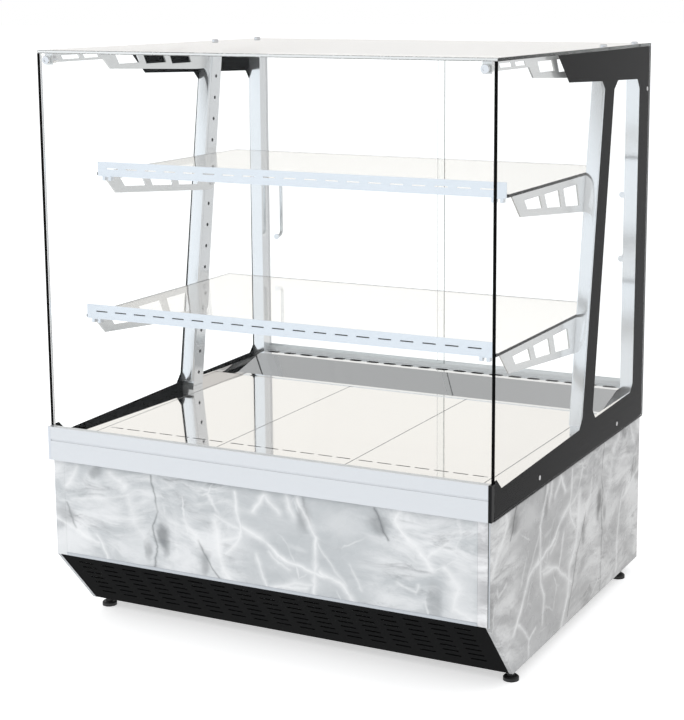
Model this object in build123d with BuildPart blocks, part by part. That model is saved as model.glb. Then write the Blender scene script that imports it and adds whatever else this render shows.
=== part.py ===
"""Pastry display case: a refrigerated counter with a glass top, glass shelves and sliding rear doors.

Millimetres. +X is the customer's right, -Y is the customer's side, +Z is up.
The origin is at floor level, in the middle of the footprint.
Distances called depth run back from the outer face of the front glass.
Distances called level run up from the underside of the base.
"""

import os
from math import cos, hypot, radians, sin

from build123d import *

# Overall sizes
CASE_WIDTH = 1000.0
CASE_DEPTH = 882.0
CASE_HEIGHT = 1188.0
FOOT_HEIGHT = 27.0

# Clearances
SEAT_GAP = 0.3
WELD_GAP = 0.2

# Glass
GLASS = 6.0
PRINT = 0.5
DOOR_GLASS = 4.0

# Base
PANEL = 8.0
FRONT_PANEL = 16.0
PANEL_PROUD = 4.0
PANEL_RETURN = 25.0
PANEL_LOW = 135.0
PANEL_TOP = 339.0
KICK_SETBACK = 119.0
KICK_SHEET = 1.5
FLOOR_SHEET = 2.0
TUBE = 30.0
TUBE_WALL = 2.0
RING_LOW = 344.0
RING_HIGH = 384.5
SILL_HIGH = 409.7
BEARER_LOW = 220.0
UPRIGHT_DEPTH = 150.0

# Front profile
PROFILE_LOW = 342.0
PROFILE_HIGH = 413.0
PROFILE_PROUD = 14.0
PROFILE_REAR = 12.0
PROFILE_WALL = 2.5
GROOVE_LEVEL = 385.0
GROOVE = 2.0
CHANNEL_FLOOR = 382.0
CHANNEL_LIP = 404.0
PROFILE_END = 6.0

# Deck
DECK_LEVEL = 386.5
DECK_SHEET = 1.5
DECK_MARGIN = 55.0
DECK_FRONT = 46.0
DECK_LAP = 12.0
DECK_PLATES = 3
DECK_JOINT = 0.6
DECK_FLANGE = 14.0
AIR_SLOT_DEPTH = 122.0
AIR_SLOTS = 7
AIR_SLOT_LENGTH = 32.0
AIR_SLOT_WIDTH = 4.0
LEDGE_HEIGHT = 18.0
LEDGE_WIDTH = 12.0

# Rear duct
DUCT_SLOPE = 107.0
DUCT_STRIP = 48.5
DUCT_LEVEL = 413.5
DUCT_SHEET = 1.2
DUCT_SLOTS = 20
DUCT_SLOT_MARGIN = 26.2
DUCT_SLOT_LENGTH = 32.0
DUCT_SLOT_WIDTH = 16.0

# Posts
POST_WIDTH = 30.0
POST_DEPTH = 40.0
POST_WALL = 1.5
POST_SHARE = 0.55329
POST_LEAN = 0.150
REAR_POST_DEPTH = 28.0
POST_HOLE = 8.0
POST_HOLES_PER_STEP = 6
POST_HOLES_BELOW = 4
POST_HOLES_ABOVE = 5

# Shelves
SHELF_SHARES = {"lower": 0.30735, "upper": 0.67605}
SHELF_REACH = {"lower": 439.0, "upper": 430.0}
SHELF_TAIL = 132.0
RAIL_HEIGHT = 28.5
RAIL_SHEET = 1.5
RAIL_LIP = 16.0
RAIL_INSET = 40.0
RAIL_SLOTS = 19
RAIL_SLOT_MARGIN = 37.0
RAIL_SLOT_LENGTH = 28.0
RAIL_SLOT_WIDTH = 2.4
BRACKET = 3.0
BRACKET_TIP = 44.0
BRACKET_ROOT = 76.0
BRACKET_RAKE = 45.0

# Upper arms
ARM_INSET = 23.3
ARM_PLATE = 3.0
ARM_SLIM_DEPTH = 19.0
ARM_DEEP_DEPTH = 40.3
ARM_ROOT_DEPTH = 55.0
ARM_TAB = 18.0
FIXING_DROP = 13.2
FIXING_HEAD = 17.0
FIXING_SHANK = 8.0

# Doors
DOOR_SETBACK = 6.5
DOOR_SPACING = 28.5
DOOR_OVERLAP = 30.0
DOOR_LOW = 414.0
DOOR_DROP = 10.0
DOOR_EDGE = 14.3
TRACK_WALL = 2.0
TRACK_EDGE = 2.2
TRACK_HEIGHT = 12.0
TRACK_FLOOR = 3.5
TOP_TRACK_HEIGHT = 31.7
JAMB = 14.0
HANDLE_INSET = 60.0
HANDLE_SHARE = 0.476
HANDLE_PITCH = 146.0
HANDLE_BAR = 8.0
HANDLE_STAND = 24.0
HANDLE_BEND = 14.0

# Feet
FOOT_PAD = 32.0
FOOT_PAD_HEIGHT = 9.0
FOOT_STUD = 10.0
FOOT_INSET = 24.0
FOOT_FRONT = 150.0
FOOT_REAR_SETBACK = 82.0
FOOT_NUT = 17.0
FOOT_NUT_HEIGHT = 8.0

# Cooling unit
TUB_LOW = 250.0
TUB_WALL = 30.0
TUB_FRONT = 42.3
COIL_SETBACK = 118.0
COIL_DEPTH = 80.0
COIL_MARGIN = 45.7
COIL_HEIGHT = 92.0
FIN_PITCH = 20.0
FIN = 8.0
FAN_PLATE = 2.0
FAN_HOLE = 96.0
FAN_TIP = 44.0
FAN_HUB = 17.0
FAN_SHARE = 0.4463
FAN_BLADES = 5
FAN_SHAFT = 4.0
FAN_FIT = 0.08
MOTOR = 19.0
MOTOR_LENGTH = 34.0

# Rear controls
CONTROL_INSET = 156.0
SWITCH_INSET = 66.0
CONTROL_LEVEL = 200.0

# Derived places
HALF = CASE_WIDTH / 2
SIDE_IN = HALF - GLASS
PRINT_IN = SIDE_IN - PRINT
POST_IN = PRINT_IN - POST_WIDTH
TUBE_OUT = SIDE_IN - PANEL
TUBE_IN = TUBE_OUT - TUBE
TUB_OUT = TUBE_IN - SEAT_GAP
TUB_IN = TUB_OUT - TUB_WALL
COIL_WIDTH = 2 * (TUB_IN - COIL_MARGIN)
FAN_SPACING = 2 * TUB_IN * FAN_SHARE
CONTROL_CENTRE = TUBE_IN - CONTROL_INSET
SWITCH_CENTRE = TUBE_IN - SWITCH_INSET

OUTER_DOOR = CASE_DEPTH - DOOR_SETBACK
INNER_DOOR = OUTER_DOOR - DOOR_SPACING
TRACK_FRONT = INNER_DOOR - 1.0 - TRACK_WALL
TRACK_REAR = OUTER_DOOR + DOOR_GLASS + TRACK_EDGE
DUCT_REAR = TRACK_FRONT - 0.5
DUCT_EDGE = DUCT_REAR - DUCT_STRIP
DUCT_FOOT = DUCT_EDGE - DUCT_SLOPE
DECK_REAR = DUCT_FOOT + DECK_LAP
REAR_POST_FRONT = DUCT_REAR - REAR_POST_DEPTH
TUB_REAR = DUCT_REAR - SEAT_GAP
COIL_FRONT = DUCT_FOOT - COIL_SETBACK
POST_FRONT = CASE_DEPTH * POST_SHARE
FOOT_DEPTHS = {"front": FOOT_FRONT, "rear": CASE_DEPTH - FOOT_REAR_SETBACK}
KICK_DEPTH = KICK_SETBACK - PANEL_PROUD
HANDLE_BACK = OUTER_DOOR + DOOR_GLASS + HANDLE_STAND
FRONT_Y = PROFILE_PROUD - (PROFILE_PROUD + HANDLE_BACK) / 2

TOP_UNDER = CASE_HEIGHT - GLASS
TUB_FLOOR = TUB_LOW + TUB_WALL
SHELF_LEVELS = {}
for shelf_row, share in SHELF_SHARES.items():
    SHELF_LEVELS[shelf_row] = DECK_LEVEL + share * (TOP_UNDER - DECK_LEVEL)
ARM_SLIM_LOW = TOP_UNDER - ARM_SLIM_DEPTH
ARM_DEEP_LOW = TOP_UNDER - ARM_DEEP_DEPTH
ARM_ROOT_LOW = TOP_UNDER - ARM_ROOT_DEPTH
FIXING_LEVEL = TOP_UNDER - FIXING_DROP
DOOR_HIGH = TOP_UNDER - DOOR_DROP
TOP_TRACK_LOW = TOP_UNDER - SEAT_GAP - TOP_TRACK_HEIGHT
HANDLE_LEVEL = DOOR_LOW + HANDLE_SHARE * (DOOR_HIGH - DOOR_LOW)


def y_at(depth):
    """The Y of a distance back from the front glass."""
    return FRONT_Y + depth


def z_at(level):
    """The Z of a distance up from the underside of the base."""
    return FOOT_HEIGHT + level


def post_face(level):
    """How deep the front face of a leaning post lies at a level."""
    return POST_FRONT + POST_LEAN * (level - DECK_LEVEL)


def block(x_span, depths, levels, mode=Mode.ADD):
    """Adds a block between two X values, two depths and two levels."""
    low = (x_span[0], y_at(depths[0]), z_at(levels[0]))
    with Locations(low):
        Box(
            x_span[1] - x_span[0],
            depths[1] - depths[0],
            levels[1] - levels[0],
            align=(Align.MIN, Align.MIN, Align.MIN),
            mode=mode,
        )


def yz(points):
    """Turns depth and level pairs into the Y and Z of a sketch on a YZ plane."""
    return [(y_at(depth), z_at(level)) for depth, level in points]


def mirrored(side, low, high):
    """An X span measured from the middle, on the left (-1) or on the right (1)."""
    return (low, high) if side > 0 else (-high, -low)


def save(piece, label):
    """Names a finished piece and writes its file."""
    piece.label = label
    export_step(piece, f"parts/{label}.step")


SIDES = {"left": -1, "right": 1}
os.makedirs("parts", exist_ok=True)


# Base frame of square tube
def tube(x_span, depths, levels, along):
    """Adds one hollow tube, open at both ends along the axis named."""
    block(x_span, depths, levels)
    spans = {"x": x_span, "y": depths, "z": levels}
    inner = {}
    for axis, (low, high) in spans.items():
        inner[axis] = (low, high) if axis == along else (low + TUBE_WALL, high - TUBE_WALL)
    block(inner["x"], inner["y"], inner["z"], mode=Mode.SUBTRACT)


tube_low = (FLOOR_SHEET, FLOOR_SHEET + TUBE)
rear_tube = (CASE_DEPTH - PANEL - TUBE, CASE_DEPTH - PANEL)
front_tube = (PROFILE_REAR, PROFILE_REAR + TUBE)
cross_x = (-TUBE_IN + WELD_GAP, TUBE_IN - WELD_GAP)
ring_in = PRINT_IN - TUBE
sill_front = DUCT_REAR + DUCT_SHEET + SEAT_GAP

with BuildPart() as base_frame:
    tube(cross_x, (KICK_DEPTH + 3, KICK_DEPTH + 3 + TUBE), tube_low, "x")
    tube(cross_x, rear_tube, tube_low, "x")
    tube(cross_x, front_tube, (PANEL_LOW, PANEL_LOW + TUBE), "x")
    tube((-ring_in + WELD_GAP, ring_in - WELD_GAP), front_tube, (RING_LOW, RING_HIGH), "x")
    tube((-ring_in + WELD_GAP, ring_in - WELD_GAP), (sill_front, CASE_DEPTH - 2), (RING_LOW, SILL_HIGH), "x")
    for side in SIDES.values():
        leg_x = mirrored(side, TUBE_IN, TUBE_OUT)
        tube(leg_x, (KICK_DEPTH + 3, CASE_DEPTH - PANEL), tube_low, "y")
        tube(mirrored(side, ring_in, PRINT_IN), (PROFILE_REAR, CASE_DEPTH - 2), (RING_LOW, RING_HIGH), "y")
        leg_top = RING_LOW - WELD_GAP
        tube(leg_x, front_tube, (PANEL_LOW, leg_top), "z")
        tube(leg_x, (UPRIGHT_DEPTH, UPRIGHT_DEPTH + TUBE), (tube_low[1] + WELD_GAP, leg_top), "z")
        tube(leg_x, rear_tube, (tube_low[1] + WELD_GAP, leg_top), "z")
        bearer_x = mirrored(side, TUBE_IN - TUBE, TUBE_IN - WELD_GAP)
        tube(bearer_x, (front_tube[1], rear_tube[0]), (BEARER_LOW, TUB_LOW), "y")
save(base_frame.part, "base_frame")

# Floor pan of the machine compartment
with BuildPart() as base_floor:
    block((-TUBE_OUT, TUBE_OUT), (KICK_DEPTH + 1, CASE_DEPTH - PANEL), (0, FLOOR_SHEET))
    for side in SIDES.values():
        for depth in FOOT_DEPTHS.values():
            with Locations((side * (HALF - FOOT_INSET), y_at(depth), z_at(0))):
                Cylinder(
                    FOOT_STUD / 2 + SEAT_GAP,
                    FLOOR_SHEET,
                    align=(Align.CENTER, Align.CENTER, Align.MIN),
                    mode=Mode.SUBTRACT,
                )
save(base_floor.part, "base_floor")

# Levelling feet: a round pad, a hexagon for the spanner and a threaded stud
for row, depth in FOOT_DEPTHS.items():
    for name, side in SIDES.items():
        place = Plane(origin=(side * (HALF - FOOT_INSET), y_at(depth), 0))
        with BuildPart() as foot:
            with BuildSketch(place):
                Circle(FOOT_PAD / 2)
            extrude(amount=FOOT_PAD_HEIGHT)
            chamfer(foot.edges().group_by(Axis.Z)[-1], 2.5)
            with BuildSketch(place.offset(FOOT_PAD_HEIGHT)):
                RegularPolygon(FOOT_NUT / 2, 6)
            extrude(amount=FOOT_NUT_HEIGHT)
            with BuildSketch(place.offset(FOOT_PAD_HEIGHT + FOOT_NUT_HEIGHT)):
                Circle(FOOT_STUD / 2)
            extrude(amount=FOOT_HEIGHT - FOOT_PAD_HEIGHT - FOOT_NUT_HEIGHT + FLOOR_SHEET - SEAT_GAP)
        save(foot.part, f"foot_{row}_{name}")

# Marble-faced panels
side_outline = [
    (-PANEL_PROUD, PANEL_TOP),
    (-PANEL_PROUD, PANEL_LOW),
    (KICK_DEPTH, 0),
    (CASE_DEPTH, 0),
    (CASE_DEPTH, PANEL_TOP),
]
for name, side in SIDES.items():
    with BuildPart() as panel:
        with BuildSketch(Plane.YZ.offset(mirrored(side, TUBE_OUT, SIDE_IN)[0])):
            Polygon(*yz(side_outline), align=None)
        extrude(amount=PANEL)
        block(
            mirrored(side, SIDE_IN - PANEL_RETURN, TUBE_OUT),
            (-PANEL_PROUD, PANEL - PANEL_PROUD),
            (PANEL_LOW, PANEL_TOP),
        )
    save(panel.part, f"panel_{name}")

front_panel_half = SIDE_IN - PANEL_RETURN - SEAT_GAP
with BuildPart() as panel_front:
    block(
        (-front_panel_half, front_panel_half),
        (-PANEL_PROUD, FRONT_PANEL - PANEL_PROUD),
        (PANEL_LOW, PANEL_TOP),
    )
    front_edges = panel_front.edges().filter_by(Axis.X).group_by(Axis.Y)[0]
    fillet(front_edges, 1.5)
save(panel_front.part, "panel_front")

# Slanted kick grille with rows of air slots
kick_slope = hypot(KICK_SETBACK, PANEL_LOW)
kick_columns = 17
kick_rows = 7
kick_slot = (34.0, 5.0)
kick_row_pitch = 20.0
kick_plane = Plane(
    origin=(0, y_at(-PANEL_PROUD + KICK_SHEET), z_at(PANEL_LOW - SEAT_GAP - KICK_SHEET)),
    x_dir=(1, 0, 0),
    z_dir=(0, -PANEL_LOW, -KICK_SETBACK),
)
kick_half = TUBE_OUT - SEAT_GAP
kick_pitch = (2 * (kick_half - 36.0) - kick_slot[0]) / (kick_columns - 1)
kick_length = kick_slope - 4.0
with BuildPart() as kick_grille:
    with BuildSketch(kick_plane):
        with Locations((0, -kick_length / 2)):
            Rectangle(2 * kick_half, kick_length)
        with Locations((0, -20 - kick_row_pitch * (kick_rows - 1) / 2)):
            with GridLocations(kick_pitch, kick_row_pitch, kick_columns, kick_rows):
                Rectangle(*kick_slot, mode=Mode.SUBTRACT)
    extrude(amount=-KICK_SHEET)
save(kick_grille.part, "kick_grille")

# Rear service panel: louvres, and openings for the controls
rear_face = CASE_DEPTH - PANEL
rear_sheet = 2.0
control_face = (74.0, 30.0)
control_hole = (70.0, 26.0)
switch_hole = (27.0, 22.0)
louvre = (90.0, 7.0)
with BuildPart() as rear_panel:
    block((-TUBE_OUT, TUBE_OUT), (rear_face + 0.3, rear_face + 0.3 + rear_sheet), (0, RING_LOW - 1))
    with BuildSketch(Plane.XZ.offset(-y_at(rear_face + 0.3))):
        with Locations((0, z_at(110))):
            with GridLocations(TUBE_OUT / 4.05, 18, 6, 7):
                SlotOverall(*louvre)
        with Locations((CONTROL_CENTRE, z_at(CONTROL_LEVEL))):
            Rectangle(*control_hole)
        with Locations((SWITCH_CENTRE, z_at(CONTROL_LEVEL))):
            Rectangle(*switch_hole)
    extrude(amount=-rear_sheet, mode=Mode.SUBTRACT)
save(rear_panel.part, "rear_panel")

# Bottom front profile: a hollow extrusion with a channel for the glass and a shadow line in its face
profile_section = [
    (-PROFILE_PROUD, PROFILE_LOW),
    (-PROFILE_PROUD, GROOVE_LEVEL - GROOVE),
    (-PROFILE_PROUD + GROOVE, GROOVE_LEVEL - GROOVE),
    (-PROFILE_PROUD + GROOVE, GROOVE_LEVEL + GROOVE),
    (-PROFILE_PROUD, GROOVE_LEVEL + GROOVE),
    (-PROFILE_PROUD, PROFILE_HIGH),
    (-SEAT_GAP, PROFILE_HIGH),
    (-SEAT_GAP, CHANNEL_FLOOR),
    (GLASS + SEAT_GAP, CHANNEL_FLOOR),
    (GLASS + SEAT_GAP, CHANNEL_LIP),
    (PROFILE_REAR - SEAT_GAP, CHANNEL_LIP),
    (PROFILE_REAR - SEAT_GAP, PROFILE_LOW),
]
profile_cores = (
    ((-PROFILE_PROUD + PROFILE_WALL, PROFILE_REAR - PROFILE_WALL), (PROFILE_LOW + PROFILE_WALL, 378.0)),
    ((-PROFILE_PROUD + 2 * PROFILE_WALL, -PROFILE_WALL), (390.0, PROFILE_HIGH - PROFILE_WALL)),
)
profile_half = PRINT_IN - SEAT_GAP
with BuildPart() as front_profile:
    with BuildSketch(Plane.YZ.offset(-profile_half)):
        Polygon(*yz(profile_section), align=None)
    extrude(amount=2 * profile_half)
    for depths, levels in profile_cores:
        block((-profile_half, profile_half), depths, levels, mode=Mode.SUBTRACT)
save(front_profile.part, "front_profile")

with BuildPart() as profile_ends:
    for side in SIDES.values():
        block(mirrored(side, profile_half, HALF), (-PROFILE_PROUD, -WELD_GAP), (PROFILE_LOW, PROFILE_HIGH))
    chamfer(profile_ends.edges().filter_by(Axis.Z).group_by(Axis.Y)[0], 0.6)
save(profile_ends.part, "profile_ends")

# Glass: front, top and sides, with holes for their fixings
fixing_x = HALF - ARM_INSET
top_fixings = ((HALF - 25.0, post_face(TOP_UNDER) + 24.7), (HALF - 22.0, REAR_POST_FRONT + 14.0))
side_fixings = ((POST_FRONT - 257, 364), (CASE_DEPTH - 183, 363), (CASE_DEPTH - 20, TOP_UNDER - 94))
hole_gap = 0.4

with BuildPart() as front_glass:
    glass_half = PRINT_IN - SEAT_GAP
    block((-glass_half, glass_half), (0, GLASS), (CHANNEL_FLOOR + SEAT_GAP, TOP_UNDER - SEAT_GAP))
    with BuildSketch(Plane.XZ.offset(-y_at(0))):
        with Locations((-fixing_x, z_at(FIXING_LEVEL)), (fixing_x, z_at(FIXING_LEVEL))):
            Circle(FIXING_SHANK / 2 + hole_gap)
    extrude(amount=-GLASS, mode=Mode.SUBTRACT)
save(front_glass.part, "front_glass")

with BuildPart() as top_glass:
    block((-HALF, HALF), (0, CASE_DEPTH), (TOP_UNDER, CASE_HEIGHT))
    with BuildSketch(Plane.XY.offset(z_at(TOP_UNDER))):
        for fixing_place, fixing_depth in top_fixings:
            with Locations((-fixing_place, y_at(fixing_depth)), (fixing_place, y_at(fixing_depth))):
                Circle(3 + hole_gap)
    extrude(amount=GLASS, mode=Mode.SUBTRACT)
save(top_glass.part, "top_glass")

side_disc = 5.0
for name, side in SIDES.items():
    with BuildPart() as side_glass:
        block(mirrored(side, SIDE_IN, HALF), (0, CASE_DEPTH), (PROFILE_LOW, TOP_UNDER - SEAT_GAP))
        with BuildSketch(Plane.YZ.offset(mirrored(side, SIDE_IN, HALF)[0])):
            for depth, level in side_fixings:
                with Locations((y_at(depth), z_at(level))):
                    Circle(side_disc + hole_gap)
        extrude(amount=GLASS, mode=Mode.SUBTRACT)
    save(side_glass.part, f"side_glass_{name}")

# Black border layer behind each side glass, with its window
strut_high = TOP_UNDER - 80
print_edge = [
    (0.5, PROFILE_LOW + 0.5),
    (0.5, 416),
    (18, 416),
    (42, 394),
    (POST_FRONT - 24, 404),
    (POST_FRONT - 6, 425),
    (post_face(strut_high) - 9, strut_high),
    (post_face(strut_high) - 27, TOP_UNDER - 63),
    (POST_FRONT - 117, TOP_UNDER - 56),
    (POST_FRONT - 180, TOP_UNDER - 1),
    (CASE_DEPTH - 0.5, TOP_UNDER - 1),
    (CASE_DEPTH - 0.5, PROFILE_LOW + 0.5),
]
print_window = [
    (POST_FRONT + 57, 428),
    (POST_FRONT + 74, 408),
    (CASE_DEPTH - 85, 412),
    (CASE_DEPTH - 69, 430),
    (CASE_DEPTH - 66, TOP_UNDER - 91),
    (CASE_DEPTH - 82, TOP_UNDER - 70),
    (post_face(strut_high) + 73, TOP_UNDER - 66),
    (post_face(strut_high) + 50, TOP_UNDER - 84),
]
with BuildPart() as side_borders:
    for side in SIDES.values():
        with BuildSketch(Plane.YZ.offset(mirrored(side, PRINT_IN, SIDE_IN)[0])):
            Polygon(*yz(print_edge), align=None)
            Polygon(*yz(print_window), align=None, mode=Mode.SUBTRACT)
            for depth, level in side_fixings:
                with Locations((y_at(depth), z_at(level))):
                    Circle(side_disc + hole_gap, mode=Mode.SUBTRACT)
        extrude(amount=PRINT)
save(side_borders.part, "side_borders")

# Black seal down each front corner
with BuildPart() as corner_seals:
    for side in SIDES.values():
        block(mirrored(side, SIDE_IN, HALF), (-1.0, 0), (PROFILE_HIGH + SEAT_GAP, TOP_UNDER - SEAT_GAP))
save(corner_seals.part, "corner_seals")

# Leaning posts that carry the shelves
hole_pitch = (SHELF_LEVELS["upper"] - SHELF_LEVELS["lower"]) / POST_HOLES_PER_STEP
first_hole = SHELF_LEVELS["lower"] - 12.0
hole_levels = []
for step in range(-POST_HOLES_BELOW, POST_HOLES_PER_STEP + POST_HOLES_ABOVE + 1):
    hole_levels.append(first_hole + step * hole_pitch)
bracket_screws = []
for shelf_level in SHELF_LEVELS.values():
    bracket_screws += [shelf_level - 12.0, shelf_level - 12.0 - hole_pitch]
post_low = RING_HIGH + WELD_GAP
post_high = TOP_UNDER - SEAT_GAP


def leaning(depths, levels):
    """The corners of a strip that leans back with the post, between two depths behind its face."""
    (near, far), (low, high) = depths, levels
    return [
        (post_face(low) + near, low),
        (post_face(low) + far, low),
        (post_face(high) + far, high),
        (post_face(high) + near, high),
    ]


for name, side in SIDES.items():
    inner_face = POST_IN if side > 0 else -POST_IN
    with BuildPart() as post:
        with BuildSketch(Plane.YZ.offset(mirrored(side, POST_IN, PRINT_IN)[0])):
            Polygon(*yz(leaning((0, POST_DEPTH), (post_low, post_high))), align=None)
        extrude(amount=POST_WIDTH)
        hollow = mirrored(side, POST_IN + POST_WALL, PRINT_IN - POST_WALL)
        with BuildSketch(Plane.YZ.offset(hollow[0])):
            core = leaning((POST_WALL, POST_DEPTH - POST_WALL), (post_low - 1, post_high - 3))
            Polygon(*yz(core), align=None)
        extrude(amount=POST_WIDTH - 2 * POST_WALL, mode=Mode.SUBTRACT)
        with BuildSketch(Plane.YZ.offset(inner_face)):
            for level in hole_levels:
                with Locations((y_at(post_face(level) + POST_DEPTH / 2), z_at(level))):
                    Circle(POST_HOLE / 2)
        extrude(amount=side * POST_WALL, mode=Mode.SUBTRACT)
        with BuildSketch(Plane.XY.offset(z_at(post_high))):
            with Locations((side * top_fixings[0][0], y_at(top_fixings[0][1]))):
                Circle(3 + hole_gap)
        extrude(amount=-4, mode=Mode.SUBTRACT)
    save(post.part, f"post_{name}")

rear_post_depths = (REAR_POST_FRONT, REAR_POST_FRONT + REAR_POST_DEPTH)
inner_depths = (rear_post_depths[0] + POST_WALL, rear_post_depths[1] - POST_WALL)
with BuildPart() as rear_posts:
    for side in SIDES.values():
        block(mirrored(side, POST_IN, PRINT_IN), rear_post_depths, (post_low, post_high))
        hollow = mirrored(side, POST_IN + POST_WALL, PRINT_IN - POST_WALL)
        block(hollow, inner_depths, (post_low, post_high - 3), mode=Mode.SUBTRACT)
        with BuildSketch(Plane.XY.offset(z_at(post_high))):
            with Locations((side * top_fixings[1][0], y_at(top_fixings[1][1]))):
                Circle(3 + hole_gap)
        extrude(amount=-4, mode=Mode.SUBTRACT)
save(rear_posts.part, "rear_posts")

# Upper arms from the front glass back to the leaning posts
arm_top = TOP_UNDER - SEAT_GAP
arm_rear = {level: post_face(level) - SEAT_GAP for level in (ARM_ROOT_LOW, arm_top)}
arm_step = POST_FRONT * 0.395
arm_outline = [
    (GLASS + SEAT_GAP, arm_top),
    (GLASS + SEAT_GAP, ARM_SLIM_LOW),
    (arm_step, ARM_SLIM_LOW),
    (arm_step + 24, ARM_DEEP_LOW),
    (post_face(ARM_ROOT_LOW) - 47, ARM_ROOT_LOW),
    (arm_rear[ARM_ROOT_LOW], ARM_ROOT_LOW),
    (arm_rear[arm_top], arm_top),
]
arm_windows = []
for start, length, low, high, lean in (
    (48, 58, TOP_UNDER - 14, TOP_UNDER - 6, 6),
    (122, 50, TOP_UNDER - 14, TOP_UNDER - 6, 6),
    (arm_step + 43, 78, TOP_UNDER - 31, TOP_UNDER - 10, 14),
    (arm_step + 145, 78, TOP_UNDER - 35, TOP_UNDER - 10, 14),
    (arm_step + 247, 78, TOP_UNDER - 39, TOP_UNDER - 10, 14),
):
    arm_windows.append([(start, high), (start + lean, low), (start + length + lean, low), (start + length, high)])
arm_x = HALF - ARM_INSET
for name, side in SIDES.items():
    with BuildPart() as arm:
        with BuildSketch(Plane.YZ.offset(mirrored(side, arm_x, arm_x + ARM_PLATE)[0])):
            Polygon(*yz(arm_outline), align=None)
            for window in arm_windows:
                Polygon(*yz(window), align=None, mode=Mode.SUBTRACT)
            arm_holes = ((y_at(POST_FRONT + 60), z_at(TOP_UNDER - 16)), (y_at(POST_FRONT + 84), z_at(TOP_UNDER - 16)))
            with Locations(*arm_holes):
                Circle(4, mode=Mode.SUBTRACT)
        extrude(amount=ARM_PLATE)
        block(
            mirrored(side, arm_x - ARM_TAB / 2, arm_x + ARM_TAB / 2),
            (GLASS + SEAT_GAP, GLASS + SEAT_GAP + ARM_PLATE),
            (ARM_SLIM_LOW - 4, arm_top),
        )
        with BuildSketch(Plane.XZ.offset(-y_at(GLASS))):
            with Locations((side * arm_x, z_at(FIXING_LEVEL))):
                Circle(FIXING_SHANK / 2 + hole_gap)
        extrude(amount=-20, mode=Mode.SUBTRACT)
    save(arm.part, f"arm_{name}")

# Fixings, each kind in one group
with BuildPart() as front_fixings:
    with BuildSketch(Plane.XZ.offset(-y_at(0))):
        with Locations((-fixing_x, z_at(FIXING_LEVEL)), (fixing_x, z_at(FIXING_LEVEL))):
            Circle(FIXING_HEAD / 2)
    extrude(amount=6)
    chamfer(front_fixings.edges().group_by(Axis.Y)[0], 1.5)
    with BuildSketch(Plane.XZ.offset(-y_at(0))):
        with Locations((-fixing_x, z_at(FIXING_LEVEL)), (fixing_x, z_at(FIXING_LEVEL))):
            Circle(FIXING_SHANK / 2)
    extrude(amount=-16)
save(front_fixings.part, "front_fixings")

with BuildPart() as top_buttons:
    for fixing_place, fixing_depth in top_fixings:
        spots = ((-fixing_place, y_at(fixing_depth)), (fixing_place, y_at(fixing_depth)))
        with BuildSketch(Plane.XY.offset(z_at(CASE_HEIGHT))):
            with Locations(*spots):
                Circle(8)
        extrude(amount=4)
        with BuildSketch(Plane.XY.offset(z_at(CASE_HEIGHT))):
            with Locations(*spots):
                Circle(3)
        extrude(amount=-12)
    fillet(top_buttons.edges().group_by(Axis.Z)[-1], 1.8)
save(top_buttons.part, "top_buttons")

with BuildPart() as side_screws:
    for side in SIDES.values():
        with BuildSketch(Plane.YZ.offset(side * PRINT_IN)):
            for depth, level in side_fixings:
                with Locations((y_at(depth), z_at(level))):
                    Circle(side_disc)
        extrude(amount=side * (HALF - PRINT_IN))
save(side_screws.part, "side_screws")

with BuildPart() as shelf_screws:
    for side in SIDES.values():
        plate_face = side * (POST_IN - BRACKET)
        for level in bracket_screws:
            spot = (y_at(post_face(level) + POST_DEPTH / 2), z_at(level))
            with BuildSketch(Plane.YZ.offset(plate_face)):
                with Locations(spot):
                    Circle(5.5)
            extrude(amount=-side * 2.5)
            with BuildSketch(Plane.YZ.offset(plate_face)):
                with Locations(spot):
                    Circle(3)
            extrude(amount=side * (BRACKET + POST_WALL + 4))
save(shelf_screws.part, "shelf_screws")

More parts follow.
